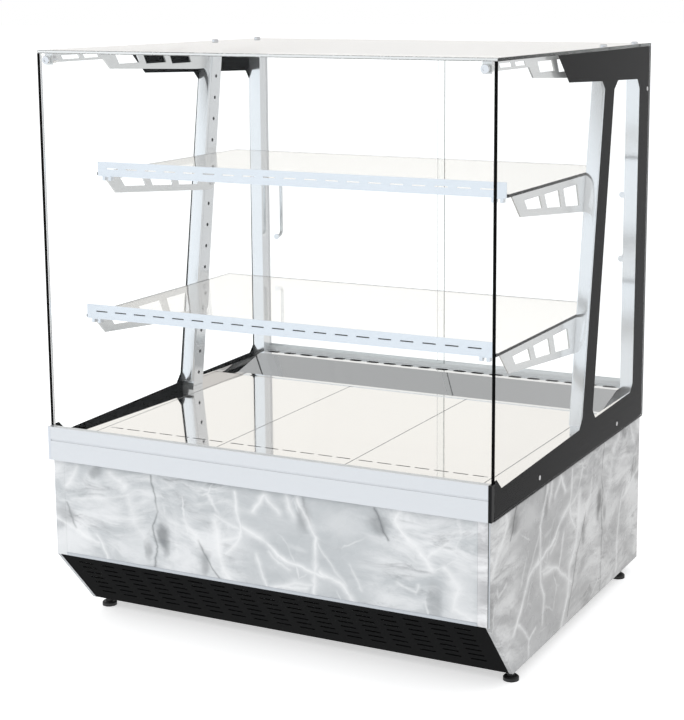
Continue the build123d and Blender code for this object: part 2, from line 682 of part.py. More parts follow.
# Shelves: glass, front rail and two pierced brackets at each level
for row, level in SHELF_LEVELS.items():
    face = post_face(level)
    front = face - SHELF_REACH[row]
    glass_half = POST_IN - SEAT_GAP
    with BuildPart() as shelf:
        block((-glass_half, glass_half), (front, face + SHELF_TAIL), (level, level + GLASS))
        chamfer(shelf.edges().filter_by(Axis.X).group_by(Axis.Y)[-1], 0.8)
    save(shelf.part, f"shelf_glass_{row}")

    rail_half = HALF - RAIL_INSET
    with BuildPart() as rail:
        block(
            (-rail_half, rail_half),
            (front - SEAT_GAP - RAIL_SHEET, front - SEAT_GAP),
            (level - RAIL_SHEET, level + RAIL_HEIGHT),
        )
        block(
            (-rail_half, rail_half),
            (front - SEAT_GAP, front + RAIL_LIP),
            (level - RAIL_SHEET, level),
        )
        rail_pitch = (2 * (rail_half - RAIL_SLOT_MARGIN)) / (RAIL_SLOTS - 1)
        with BuildSketch(Plane.XZ.offset(-y_at(front - SEAT_GAP))):
            with Locations((0, z_at(level + RAIL_HEIGHT / 2))):
                with GridLocations(rail_pitch, 1, RAIL_SLOTS, 1):
                    Rectangle(RAIL_SLOT_LENGTH, RAIL_SLOT_WIDTH)
        extrude(amount=RAIL_SHEET, mode=Mode.SUBTRACT)
    save(rail.part, f"shelf_rail_{row}")

    tip = front + RAIL_LIP + SEAT_GAP
    low = level - BRACKET_ROOT
    run = post_face(low) - (tip + BRACKET_RAKE)
    back = POST_DEPTH
    bracket_outline = [
        (tip, level),
        (tip + BRACKET_RAKE, level - BRACKET_TIP),
        (post_face(low), low),
        (post_face(low) + back - 14, low),
        (post_face(low + 14) + back, low + 14),
        (post_face(level) + back, level),
    ]
    bracket_windows = []
    window_step = (run - 40) / 3
    for index in range(3):
        start = tip + BRACKET_RAKE + 18 + index * window_step
        length = window_step - 26
        lean = 16.0
        deep = []
        for place in (start + lean, start + lean + length):
            share = (place - tip - BRACKET_RAKE) / run
            deep.append(level - BRACKET_TIP - share * (BRACKET_ROOT - BRACKET_TIP) + 14)
        bracket_windows.append(
            [
                (start, level - 14),
                (start + lean, deep[0]),
                (start + lean + length, deep[1]),
                (start + length, level - 14),
            ]
        )
    with BuildPart() as brackets:
        for side in SIDES.values():
            with BuildSketch(Plane.YZ.offset(mirrored(side, POST_IN - BRACKET, POST_IN)[0])):
                Polygon(*yz(bracket_outline), align=None)
                for window in bracket_windows:
                    Polygon(*yz(window), align=None, mode=Mode.SUBTRACT)
                for screw in (level - 12.0, level - 12.0 - hole_pitch):
                    with Locations((y_at(post_face(screw) + POST_DEPTH / 2), z_at(screw))):
                        Circle(3 + hole_gap, mode=Mode.SUBTRACT)
            extrude(amount=BRACKET)
    save(brackets.part, f"brackets_{row}")

# Insulated tub under the deck, with a bar across it under the rear edge of the plates
deck_under = DECK_LEVEL - DECK_SHEET
with BuildPart() as tub:
    block((-TUB_OUT, TUB_OUT), (TUB_FRONT, TUB_REAR), (TUB_LOW, deck_under))
    block(
        (-TUB_IN, TUB_IN),
        (TUB_FRONT + TUB_WALL, TUB_REAR - TUB_WALL),
        (TUB_FLOOR, deck_under),
        mode=Mode.SUBTRACT,
    )
    with Locations((0, y_at(TUB_REAR - TUB_WALL - 40), z_at(TUB_LOW))):
        Cylinder(8, TUB_WALL, align=(Align.CENTER, Align.CENTER, Align.MIN), mode=Mode.SUBTRACT)
    bar = (DUCT_FOOT - 22, DUCT_FOOT + 8)
    block((-TUB_IN, TUB_IN), bar, (deck_under - 14, deck_under))
    block((-TUB_IN, TUB_IN), (bar[0] + 2, bar[1] - 2), (deck_under - 12, deck_under - 2), mode=Mode.SUBTRACT)
save(tub.part, "insulated_tub")

# Deck plates with their air slots, and the strips beside them
deck_half = HALF - DECK_MARGIN
plate_width = (2 * deck_half - (DECK_PLATES - 1) * DECK_JOINT) / DECK_PLATES
with BuildPart() as deck_plates:
    for index in range(DECK_PLATES):
        left = -deck_half + index * (plate_width + DECK_JOINT)
        block((left, left + plate_width), (DECK_FRONT, DECK_REAR), (deck_under, DECK_LEVEL))
        with BuildSketch(Plane.XY.offset(z_at(deck_under))):
            with Locations((left + plate_width / 2, y_at(AIR_SLOT_DEPTH))):
                with GridLocations(plate_width / (AIR_SLOTS + 0.2), 1, AIR_SLOTS, 1):
                    SlotOverall(AIR_SLOT_LENGTH, AIR_SLOT_WIDTH)
        extrude(amount=DECK_SHEET, mode=Mode.SUBTRACT)
save(deck_plates.part, "deck_plates")

with BuildPart() as deck_front:
    block(
        (-(PRINT_IN - SEAT_GAP), PRINT_IN - SEAT_GAP),
        (PROFILE_REAR, DECK_FRONT - DECK_JOINT),
        (deck_under, DECK_LEVEL),
    )
save(deck_front.part, "deck_front_strip")

for name, side in SIDES.items():
    strip_in = deck_half + DECK_JOINT / 2
    strip_out = PRINT_IN - SEAT_GAP
    post_foot = post_face(DECK_LEVEL)
    with BuildPart() as ledge:
        block(mirrored(side, strip_in, POST_IN - SEAT_GAP), (DECK_FRONT, DUCT_FOOT - 14), (deck_under, DECK_LEVEL))
        block(
            mirrored(side, POST_IN - SEAT_GAP, strip_out),
            (DECK_FRONT, post_foot - 1),
            (deck_under, DECK_LEVEL),
        )
        rear_span = (post_foot + POST_DEPTH + 1, REAR_POST_FRONT - SEAT_GAP)
        block(
            mirrored(side, POST_IN - SEAT_GAP, strip_out),
            (rear_span[0], DUCT_FOOT - 14),
            (deck_under, DECK_LEVEL),
        )
        block(
            mirrored(side, strip_out - LEDGE_WIDTH, strip_out),
            (rear_span[0] + 4, rear_span[1]),
            (deck_under, DECK_LEVEL + LEDGE_HEIGHT),
        )
    save(ledge.part, f"side_ledge_{name}")

# Rear duct: a slanted panel and a slotted outlet strip in front of the doors
duct_half = POST_IN - SEAT_GAP
duct_section = [
    (DUCT_FOOT - 13, DECK_LEVEL),
    (DUCT_FOOT - 13, DECK_LEVEL + DUCT_SHEET),
    (DUCT_FOOT, DECK_LEVEL + DUCT_SHEET),
    (DUCT_EDGE, DUCT_LEVEL + DUCT_SHEET),
    (DUCT_REAR, DUCT_LEVEL + DUCT_SHEET),
    (DUCT_REAR, deck_under),
    (DUCT_REAR - DUCT_SHEET, deck_under),
    (DUCT_REAR - DUCT_SHEET, DUCT_LEVEL),
    (DUCT_EDGE, DUCT_LEVEL),
    (DUCT_FOOT, DECK_LEVEL),
]
with BuildPart() as rear_duct:
    with BuildSketch(Plane.YZ.offset(-duct_half)):
        Polygon(*yz(duct_section), align=None)
    extrude(amount=2 * duct_half)
    with BuildSketch(Plane.XY.offset(z_at(DUCT_LEVEL))):
        duct_pitch = 2 * (duct_half - DUCT_SLOT_MARGIN) / (DUCT_SLOTS - 1)
        with Locations((0, y_at((DUCT_EDGE + DUCT_REAR) / 2))):
            with GridLocations(duct_pitch, 1, DUCT_SLOTS, 1):
                SlotOverall(DUCT_SLOT_LENGTH, DUCT_SLOT_WIDTH)
    extrude(amount=DUCT_SHEET, mode=Mode.SUBTRACT)
save(rear_duct.part, "rear_duct")

# Door frame: twin tracks and jambs
inner_groove = (INNER_DOOR - 1, INNER_DOOR + DOOR_GLASS + 1)
outer_groove = (OUTER_DOOR - 1, OUTER_DOOR + DOOR_GLASS + 1)
pocket = (inner_groove[1] + TRACK_WALL, outer_groove[0] - TRACK_WALL)
track_half = PRINT_IN - SEAT_GAP
with BuildPart() as bottom_track:
    floor = SILL_HIGH + WELD_GAP
    block((-track_half, track_half), (TRACK_FRONT, TRACK_REAR), (floor, floor + TRACK_HEIGHT))
    for groove in (inner_groove, outer_groove, pocket):
        block((-track_half, track_half), groove, (floor + TRACK_FLOOR, floor + TRACK_HEIGHT), mode=Mode.SUBTRACT)
save(bottom_track.part, "bottom_track")

with BuildPart() as top_track:
    roof = TOP_UNDER - SEAT_GAP
    block((-track_half, track_half), (TRACK_FRONT, TRACK_REAR), (TOP_TRACK_LOW, roof))
    for groove in (inner_groove, outer_groove, pocket):
        block((-track_half, track_half), groove, (TOP_TRACK_LOW, roof - TRACK_FLOOR), mode=Mode.SUBTRACT)
save(top_track.part, "top_track")

jamb_levels = (SILL_HIGH + WELD_GAP + TRACK_HEIGHT, TOP_TRACK_LOW)
with BuildPart() as jambs:
    for side in SIDES.values():
        block(mirrored(side, PRINT_IN - JAMB, PRINT_IN), (TRACK_FRONT, TRACK_REAR), jamb_levels)
        hollow = mirrored(side, PRINT_IN - JAMB + POST_WALL, PRINT_IN - POST_WALL)
        block(hollow, (TRACK_FRONT + POST_WALL, TRACK_REAR - POST_WALL), jamb_levels, mode=Mode.SUBTRACT)
save(jambs.part, "jambs")

# Sliding glass doors and their bow handles
door_out = PRINT_IN - DOOR_EDGE
handle_x = HALF - HANDLE_INSET
handle_levels = (HANDLE_LEVEL - HANDLE_PITCH / 2, HANDLE_LEVEL + HANDLE_PITCH / 2)
doors = {"left": (-1, INNER_DOOR), "right": (1, OUTER_DOOR)}
for name, (side, pane) in doors.items():
    with BuildPart() as door:
        block(mirrored(side, -DOOR_OVERLAP / 2, door_out), (pane, pane + DOOR_GLASS), (DOOR_LOW, DOOR_HIGH))
        with BuildSketch(Plane.XZ.offset(-y_at(pane))):
            for level in handle_levels:
                with Locations((side * handle_x, z_at(level))):
                    Circle(3 + hole_gap)
        extrude(amount=-DOOR_GLASS, mode=Mode.SUBTRACT)
    save(door.part, f"door_{name}")

    outside = pane + DOOR_GLASS
    bar_line = outside + HANDLE_STAND - HANDLE_BAR / 2
    bow = [
        (outside, handle_levels[0]),
        (bar_line, handle_levels[0]),
        (bar_line, handle_levels[1]),
        (outside, handle_levels[1]),
    ]
    with BuildPart() as handle:
        with BuildLine(Plane.YZ.offset(side * handle_x)) as bow_line:
            FilletPolyline(*yz(bow), radius=HANDLE_BEND)
        with BuildSketch(Plane(origin=(side * handle_x, y_at(outside), z_at(handle_levels[0])), z_dir=(0, 1, 0))):
            Circle(HANDLE_BAR / 2)
        sweep(path=bow_line.wires()[0])
        for level in handle_levels:
            stub = Plane(origin=(side * handle_x, y_at(outside), z_at(level)), z_dir=(0, -1, 0))
            with BuildSketch(stub):
                Circle(3)
            extrude(amount=DOOR_GLASS)
            with BuildSketch(stub.offset(DOOR_GLASS)):
                Circle(7)
            extrude(amount=2.5)
    save(handle.part, f"handle_{name}")

# Cooling coils: a stack of fins on tubes between two end plates
def coil(width, depths, levels, fins, tube_radius):
    """Builds a finned block between two depths and two levels, centred on X."""
    pitch = width / fins
    with BuildPart() as finned:
        for index in range(fins + 1):
            left = -width / 2 + index * pitch
            block((left - FIN / 2, left + FIN / 2), depths, levels)
        for share in (0.25, 0.75):
            for rise in (0.2, 0.5, 0.8):
                depth = depths[0] + share * (depths[1] - depths[0])
                level = levels[0] + rise * (levels[1] - levels[0])
                with BuildSketch(Plane.YZ.offset(-width / 2)):
                    with Locations((y_at(depth), z_at(level))):
                        Circle(tube_radius)
                extrude(amount=width)
    return finned.part


def fan_mount(sheet, depth, centres, level, hole, reach):
    """Builds a fan plate: a sheet with holes, and a motor held in front of each hole on a strap."""
    (half_width, low, high) = sheet
    with BuildPart() as mount:
        block((-half_width, half_width), (depth, depth + FAN_PLATE), (low, high))
        for centre in centres:
            with BuildSketch(Plane.XZ.offset(-y_at(depth))):
                with Locations((centre, z_at(level))):
                    Circle(hole)
            extrude(amount=-FAN_PLATE, mode=Mode.SUBTRACT)
            strap = depth - reach
            for leg in (-hole - 6, hole + 4):
                block((centre + leg, centre + leg + 2), (strap, depth), (level - 7, level + 7))
            block((centre - hole - 6, centre + hole + 6), (strap, strap + 3), (level - 7, level + 7))
            with BuildSketch(Plane.XZ.offset(-y_at(strap + 3))):
                with Locations((centre, z_at(level))):
                    Circle(MOTOR)
            extrude(amount=-MOTOR_LENGTH)
            with BuildSketch(Plane.XZ.offset(-y_at(strap + 3 + MOTOR_LENGTH))):
                with Locations((centre, z_at(level))):
                    Circle(FAN_SHAFT)
            extrude(amount=-(reach - MOTOR_LENGTH + 5))
    return mount.part


def fan(depth, centre, level, tip):
    """Builds a fan with pitched blades on a bored hub, spinning about Y."""
    with BuildPart() as wheel:
        axle = Plane(origin=(centre, y_at(depth), z_at(level)), z_dir=(0, 1, 0))
        with BuildSketch(axle.offset(-8)):
            Circle(FAN_HUB)
        extrude(amount=16)
        with Locations(axle):
            with PolarLocations((FAN_HUB + tip) / 2 - 1, FAN_BLADES):
                Box(tip - FAN_HUB + 1, 22, 2, rotation=(28, 0, 0))
        with BuildSketch(axle.offset(-8)):
            Circle(FAN_SHAFT + FAN_FIT)
        extrude(amount=16, mode=Mode.SUBTRACT)
    return wheel.part


evaporator = coil(COIL_WIDTH, (COIL_FRONT, COIL_FRONT + COIL_DEPTH), (TUB_FLOOR, TUB_FLOOR + COIL_HEIGHT), 38, 5)
save(evaporator, "evaporator")

fan_level = (TUB_FLOOR + deck_under) / 2
fan_depth = COIL_FRONT - 28.0
fan_reach = 54.0
fan_sheet = (TUB_IN - SEAT_GAP, TUB_FLOOR, deck_under - SEAT_GAP)
fan_centres = (-FAN_SPACING / 2, FAN_SPACING / 2)
evaporator_fan_plate = fan_mount(fan_sheet, fan_depth, fan_centres, fan_level, FAN_HOLE / 2, fan_reach)
save(evaporator_fan_plate, "evaporator_fan_plate")
for name, side in SIDES.items():
    save(fan(fan_depth, side * FAN_SPACING / 2, fan_level, FAN_TIP), f"evaporator_fan_{name}")

condenser_x = 170.0
condenser_depths = (215.0, 275.0)
condenser_high = FLOOR_SHEET + 170.0
condenser = coil(2 * condenser_x, condenser_depths, (FLOOR_SHEET, condenser_high), 20, 5)
save(condenser, "condenser")

condenser_fan_depth = condenser_depths[1] + 70.0
condenser_fan_level = FLOOR_SHEET + 86.0
condenser_tip = 68.0
shroud_sheet = (condenser_x, FLOOR_SHEET, condenser_high)
condenser_shroud = fan_mount(
    shroud_sheet, condenser_fan_depth, (0.0,), condenser_fan_level, condenser_tip + 5, fan_reach
)
save(condenser_shroud, "condenser_fan_plate")
save(fan(condenser_fan_depth, 0.0, condenser_fan_level, condenser_tip), "condenser_fan")

# Compressor: a welded shell on a plate with four rubber feet
compressor_place = (-220.0, y_at(CASE_DEPTH * 0.68))
with BuildPart() as compressor:
    with Locations((*compressor_place, z_at(FLOOR_SHEET))):
        with GridLocations(150, 110, 2, 2):
            Cylinder(11, 10, align=(Align.CENTER, Align.CENTER, Align.MIN))
    with Locations((*compressor_place, z_at(FLOOR_SHEET + 10))):
        Box(180, 140, 3, align=(Align.CENTER, Align.CENTER, Align.MIN))
    with BuildSketch(Plane.XY.offset(z_at(FLOOR_SHEET + 13))):
        with Locations(compressor_place):
            Ellipse(78, 62)
    extrude(amount=150)
    fillet(compressor.edges().group_by(Axis.Z)[-1], 34)
save(compressor.part, "compressor")

# Drain tray under the tub's outlet
with BuildPart() as drain_tray:
    tray = (TUB_REAR - 138, TUB_REAR - 3)
    block((-130, 130), tray, (FLOOR_SHEET, FLOOR_SHEET + 32))
    block((-128, 128), (tray[0] + 2, tray[1] - 2), (FLOOR_SHEET + 2, FLOOR_SHEET + 32), mode=Mode.SUBTRACT)
save(drain_tray.part, "drain_tray")

# Controls on the rear panel: a temperature controller and a rocker switch
rear_out = rear_face + 0.3 + rear_sheet
with BuildPart() as controller:
    face_x = (CONTROL_CENTRE - 38.5, CONTROL_CENTRE + 38.5)
    block(face_x, (rear_out, rear_out + 3.5), (CONTROL_LEVEL - 17, CONTROL_LEVEL + 17))
    chamfer(controller.edges().filter_by(Axis.Z).group_by(Axis.Y)[-1], 1.2)
    window_x = (CONTROL_CENTRE - 33, CONTROL_CENTRE + 8)
    block(window_x, (rear_out + 2.7, rear_out + 3.5), (CONTROL_LEVEL - 10, CONTROL_LEVEL + 10), mode=Mode.SUBTRACT)
    for key_x in (CONTROL_CENTRE + 14, CONTROL_CENTRE + 24):
        for key_z in (CONTROL_LEVEL - 9, CONTROL_LEVEL + 2):
            block((key_x, key_x + 7), (rear_out + 3.5, rear_out + 4.3), (key_z, key_z + 7))
    body_x = (CONTROL_CENTRE - 34.5, CONTROL_CENTRE + 34.5)
    block(body_x, (rear_out - 55, rear_out), (CONTROL_LEVEL - 12.5, CONTROL_LEVEL + 12.5))
save(controller.part, "temperature_controller")

switch_opening = (20.0, 18.4)
rocker_pivot = rear_out - 2.0
with BuildPart() as switch_frame:
    half_w, half_h = 15.5, 13.0
    block((SWITCH_CENTRE - half_w, SWITCH_CENTRE + half_w), (rear_out, rear_out + 2.5), (CONTROL_LEVEL - half_h, CONTROL_LEVEL + half_h))
    half_w, half_h = 13.2, 10.7
    block((SWITCH_CENTRE - half_w, SWITCH_CENTRE + half_w), (rear_out - 18, rear_out), (CONTROL_LEVEL - half_h, CONTROL_LEVEL + half_h))
    half_w, half_h = switch_opening[0] / 2, switch_opening[1] / 2
    block(
        (SWITCH_CENTRE - half_w, SWITCH_CENTRE + half_w),
        (rear_out - 12, rear_out + 2.5),
        (CONTROL_LEVEL - half_h, CONTROL_LEVEL + half_h),
        mode=Mode.SUBTRACT,
    )
    with BuildSketch(Plane.YZ.offset(SWITCH_CENTRE - 11.5)):
        with Locations((y_at(rocker_pivot), z_at(CONTROL_LEVEL))):
            Circle(1.58)
    extrude(amount=23, mode=Mode.SUBTRACT)
save(switch_frame.part, "switch_frame")

rocker_tilt = radians(10.0)
rocker_points = []
for out, up in ((-3, -6), (-3, 6), (3.5, 8), (5.5, 0), (3.5, -8)):
    turned_out = out * cos(rocker_tilt) - up * sin(rocker_tilt)
    turned_up = out * sin(rocker_tilt) + up * cos(rocker_tilt)
    rocker_points.append((rocker_pivot + turned_out, CONTROL_LEVEL + turned_up))
with BuildPart() as rocker:
    with BuildSketch(Plane.YZ.offset(SWITCH_CENTRE - 9.7)):
        Polygon(*yz(rocker_points), align=None)
    extrude(amount=19.4)
    with BuildSketch(Plane.YZ.offset(SWITCH_CENTRE - 11.3)):
        with Locations((y_at(rocker_pivot), z_at(CONTROL_LEVEL))):
            Circle(1.5)
    extrude(amount=22.6)
save(rocker.part, "switch_rocker")
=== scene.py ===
"""Pastry display case: finishes, small trim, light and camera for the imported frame."""

import bpy
import math
from mathutils import Matrix, Vector


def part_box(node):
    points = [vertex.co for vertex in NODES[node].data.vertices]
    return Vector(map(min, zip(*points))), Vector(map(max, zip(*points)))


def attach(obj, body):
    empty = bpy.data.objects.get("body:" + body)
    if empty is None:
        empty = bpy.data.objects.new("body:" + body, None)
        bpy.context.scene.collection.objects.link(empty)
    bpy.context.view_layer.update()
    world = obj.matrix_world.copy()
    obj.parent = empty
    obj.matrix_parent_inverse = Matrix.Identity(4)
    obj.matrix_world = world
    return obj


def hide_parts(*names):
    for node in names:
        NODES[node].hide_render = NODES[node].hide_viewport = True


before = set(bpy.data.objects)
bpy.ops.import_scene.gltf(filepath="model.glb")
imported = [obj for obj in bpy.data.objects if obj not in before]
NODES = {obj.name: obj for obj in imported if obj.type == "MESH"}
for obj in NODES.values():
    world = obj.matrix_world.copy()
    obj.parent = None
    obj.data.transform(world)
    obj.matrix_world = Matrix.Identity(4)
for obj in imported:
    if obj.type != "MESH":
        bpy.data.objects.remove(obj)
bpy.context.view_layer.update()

MM = 0.001
# The outer face of the front glass and the underside of the base, in metres
FRONT_Y = -0.44475
BASE_Z = 0.027
# Where nearly all values of a noise texture lie
NOISE_REACH = (0.3, 0.7)


def place(x, depth, level):
    """A point in mm: x from the middle, depth from the front glass, level above the base."""
    return Vector((x * MM, FRONT_Y + depth * MM, BASE_Z + level * MM))


# Node tree helpers
def feed(tree, value, target):
    """Links another node's output to the target, or writes a plain value there."""
    if hasattr(value, "node"):
        tree.links.new(value, target)
    elif value is not None:
        target.default_value = value


def socket(group, name, way, kind="NodeSocketFloat", value=None, low=None, high=None):
    made = group.interface.new_socket(name=name, in_out=way, socket_type=kind)
    for setting, given in (("default_value", value), ("min_value", low), ("max_value", high)):
        if given is not None:
            setattr(made, setting, given)


def share(group, name, value):
    """An input that goes from 0 to 1."""
    socket(group, name, "INPUT", value=value, low=0.0, high=1.0)


def add(tree, kind, **settings):
    node = tree.nodes.new(kind)
    for key, value in settings.items():
        setattr(node, key, value)
    return node


def math_node(tree, operation, a, b=None, clamp=False):
    node = add(tree, "ShaderNodeMath", operation=operation, use_clamp=clamp)
    feed(tree, a, node.inputs[0])
    feed(tree, b, node.inputs[1])
    return node.outputs[0]


def vector_math(tree, operation, a, b=None):
    node = add(tree, "ShaderNodeVectorMath", operation=operation)
    feed(tree, a, node.inputs[0])
    feed(tree, b, node.inputs[1])
    return node


def remap(tree, value, low, high, to_low, to_high, smooth=False):
    node = add(tree, "ShaderNodeMapRange", interpolation_type="SMOOTHSTEP" if smooth else "LINEAR")
    tree.links.new(value, node.inputs["Value"])
    ends = (("From Min", low), ("From Max", high), ("To Min", to_low), ("To Max", to_high))
    for name, number in ends:
        node.inputs[name].default_value = number
    return node.outputs["Result"]


def blend_colour(tree, factor, one, two, mode="MIX"):
    node = add(tree, "ShaderNodeMix", data_type="RGBA", blend_type=mode)
    feed(tree, factor, node.inputs[0])
    for index, colour in ((6, one), (7, two)):
        feed(tree, colour if hasattr(colour, "node") else (*colour, 1.0), node.inputs[index])
    return node.outputs[2]


def object_place(tree):
    return add(tree, "ShaderNodeTexCoord").outputs["Object"]


def object_coords(tree, scale=(1, 1, 1)):
    mapping = add(tree, "ShaderNodeMapping")
    mapping.inputs["Scale"].default_value = scale
    tree.links.new(object_place(tree), mapping.inputs["Vector"])
    return mapping.outputs["Vector"]


def split_axes(tree, vector):
    node = add(tree, "ShaderNodeSeparateXYZ")
    tree.links.new(vector, node.inputs[0])
    return node.outputs


def noise(tree, vector, scale, detail=4.0, rough=0.5, warp=0.0):
    node = add(tree, "ShaderNodeTexNoise")
    settings = (("Scale", scale), ("Detail", detail), ("Roughness", rough), ("Distortion", warp))
    for name, value in settings:
        feed(tree, value, node.inputs[name])
    tree.links.new(vector, node.inputs["Vector"])
    return node


def new_group(name):
    group = bpy.data.node_groups.new(name, "ShaderNodeTree")
    inside = group.nodes.new("NodeGroupInput")
    outside = group.nodes.new("NodeGroupOutput")
    return group, inside, outside


def use_group(tree, group, **values):
    node = add(tree, "ShaderNodeGroup", node_tree=group)
    for key, value in values.items():
        feed(tree, value, node.inputs[key.replace("_", " ")])
    return node


# Shared surface effects
def make_brushed_grain():
    """Fine lines left by the polishing belt: gives a roughness, a height and a tone."""
    group, inside, outside = new_group("Brushed grain")
    socket(group, "Vector", "INPUT", "NodeSocketVector")
    socket(group, "Grain scale", "INPUT", value=600.0, low=1.0, high=5000.0)
    share(group, "Base roughness", 0.2)
    share(group, "Spread", 0.1)
    for name in ("Roughness", "Height", "Tone"):
        socket(group, name, "OUTPUT")
    given = inside.outputs
    lines = noise(group, given["Vector"], given["Grain scale"], 2.0).outputs["Fac"]
    cloud = noise(group, given["Vector"], 5.0, 3.0).outputs["Fac"]
    rough = given["Base roughness"]
    swing, patch = (
        math_node(group, "MULTIPLY", math_node(group, "SUBTRACT", value, 0.5), given["Spread"])
        for value in (lines, cloud)
    )
    rough = math_node(group, "ADD", rough, math_node(group, "ADD", swing, patch), clamp=True)
    group.links.new(rough, outside.inputs["Roughness"])
    group.links.new(lines, outside.inputs["Height"])
    group.links.new(remap(group, lines, *NOISE_REACH, 0.94, 1.0), outside.inputs["Tone"])
    return group


def make_powder_grain():
    """The orange-peel skin of powder coat and moulded plastic, with faint dust in it."""
    group, inside, outside = new_group("Powder grain")
    socket(group, "Vector", "INPUT", "NodeSocketVector")
    socket(group, "Grain scale", "INPUT", value=900.0, low=1.0, high=5000.0)
    share(group, "Base roughness", 0.45)
    share(group, "Dust", 0.1)
    for name in ("Roughness", "Height", "Dust mask"):
        socket(group, name, "OUTPUT")
    given = inside.outputs
    dust_dulls = 0.3
    skin = noise(group, given["Vector"], given["Grain scale"], 2.0).outputs["Fac"]
    drift = noise(group, given["Vector"], 9.0, 5.0).outputs["Fac"]
    dusty = math_node(group, "MULTIPLY", remap(group, drift, 0.45, 0.75, 0.0, 1.0), given["Dust"])
    duller = math_node(group, "MULTIPLY", dusty, dust_dulls)
    rough = math_node(group, "ADD", given["Base roughness"], duller, clamp=True)
    group.links.new(rough, outside.inputs["Roughness"])
    group.links.new(skin, outside.inputs["Height"])
    group.links.new(dusty, outside.inputs["Dust mask"])
    return group


# The decor's main marks in panel millimetres: u from the left of the front, v above the base.
# Veins and cracks are lists of points, a width and a strength.
# Spots are a centre, a half size and a strength.
VEINS = (
    (((-2, 217), (77, 186), (107, 174)), 6.0, 0.8),
    (((107, 190), (129, 150), (140, 100), (152, 13)), 4.5, 0.8),
    (((49, 262), (192, 287)), 4.0, 0.45),
    (((150, 329), (185, 302)), 9.0, 0.8),
    (((60, 330), (40, 290)), 6.0, 0.7),
    (((195, 278), (201, 235), (235, 193)), 9.0, 0.5),
    (((259, 265), (304, 234), (306, 178)), 10.0, 0.4),
    (((396, 259), (408, 194), (431, 142), (449, 122), (465, 57), (500, 3)), 8.0, 0.95),
    (((326, 250), (360, 211)), 6.0, 0.7),
    (((396, 272), (460, 250)), 3.5, 0.6),
    (((414, 228), (457, 240)), 3.5, 0.7),
    (((445, 324), (460, 250), (422, 199)), 4.0, 0.85),
    (((464, 257), (514, 236), (543, 214)), 6.0, 0.85),
    (((493, 206), (519, 140)), 4.0, 0.7),
    (((512, 327), (488, 290)), 6.0, 0.85),
    (((515, 324), (542, 295)), 6.0, 0.75),
    (((520, 232), (560, 205), (590, 198), (622, 188), (664, 182)), 5.0, 1.0),
    (((520, 217), (570, 186)), 4.0, 0.65),
    (
        ((588, 335), (604, 301), (630, 260), (622, 188), (622, 139), (601, 108), (608, 50)),
        5.0, 0.85,
    ),
    (((635, 192), (677, 175), (712, 136), (762, 80)), 6.0, 1.0),
    (((529, 137), (579, 160), (619, 163)), 6.0, 0.75),
    (((633, 252), (690, 171)), 3.0, 0.5),
    (((703, 215), (722, 170)), 3.0, 0.5),
    (((813, 336), (801, 317), (828, 280), (862, 253), (874, 238)), 7.0, 1.0),
    (((862, 253), (907, 292)), 4.0, 0.75),
    (((804, 195), (844, 181), (850, 199)), 3.0, 0.65),
    (((900, 240), (930, 200), (925, 160), (960, 145)), 7.0, 0.8),
    (((607, 155), (552, 148), (475, 106), (445, 79)), 6.0, 0.85),
    (((740, 98), (682, 38), (648, 52)), 4.0, 0.8),
    (((682, 38), (682, 8)), 4.0, 0.8),
    (((560, 330), (575, 295)), 7.0, 0.8),
)
CRACKS = (
    (((242, 336), (253, 286), (261, 259), (246, 229), (257, 187), (252, 139), (256, 6)), 2.4, 0.75),
    (((751, 333), (766, 306), (779, 279)), 3.2, 0.8),
    (((35, 251), (54, 199)), 3.0, 0.6),
    (((360, 211), (383, 171), (410, 132), (461, 11)), 2.8, 0.7),
    (((600, 336), (612, 290)), 3.0, 0.45),
)
BRIGHT_SPOTS = (
    ((35, 165), (75, 45), 0.8),
    ((388, 205), (30, 60), 0.85),
    ((935, 190), (45, 75), 0.6),
    ((120, 250), (60, 50), 0.45),
    ((210, 170), (70, 45), 0.5),
    ((300, 150), (60, 35), 0.45),
    ((680, 300), (60, 30), 0.4),
)
DARK_SPOTS = (
    ((279, 213), (20, 44), 0.75),
    ((236, 180), (14, 30), 0.5),
    ((370, 165), (16, 34), 0.5),
    ((765, 312), (34, 26), 0.5),
    ((600, 300), (20, 40), 0.4),
    ((30, 225), (34, 26), 0.4),
    ((880, 170), (22, 50), 0.35),
    ((110, 325), (24, 16), 0.45),
)


def make_vein_stroke():
    """One straight run of a vein: strong along the line, fading off to both sides."""
    group, inside, outside = new_group("Vein stroke")
    for name in ("Vector", "From", "To"):
        socket(group, name, "INPUT", "NodeSocketVector")
    share(group, "Width", 0.01)
    share(group, "Strength", 1.0)
    share(group, "So far", 0.0)
    socket(group, "Mask", "OUTPUT")
    given = inside.outputs
    fade = 2.2
    here = vector_math(group, "SUBTRACT", given["Vector"], given["From"]).outputs[0]
    run = vector_math(group, "SUBTRACT", given["To"], given["From"]).outputs[0]
    along = vector_math(group, "DOT_PRODUCT", here, run).outputs["Value"]
    whole = vector_math(group, "DOT_PRODUCT", run, run).outputs["Value"]
    part = math_node(group, "DIVIDE", along, whole)
    part = math_node(group, "MINIMUM", math_node(group, "MAXIMUM", part, 0.0), 1.0)
    foot = vector_math(group, "SCALE", run)
    group.links.new(part, foot.inputs["Scale"])
    away = vector_math(group, "DISTANCE", here, foot.outputs[0]).outputs["Value"]
    near = math_node(group, "SUBTRACT", 1.0, math_node(group, "DIVIDE", away, given["Width"]))
    peak = math_node(group, "POWER", math_node(group, "MAXIMUM", near, 0.0), fade)
    mask = math_node(group, "MULTIPLY", peak, given["Strength"])
    mask = math_node(group, "MAXIMUM", given["So far"], mask)
    group.links.new(mask, outside.inputs["Mask"])
    return group


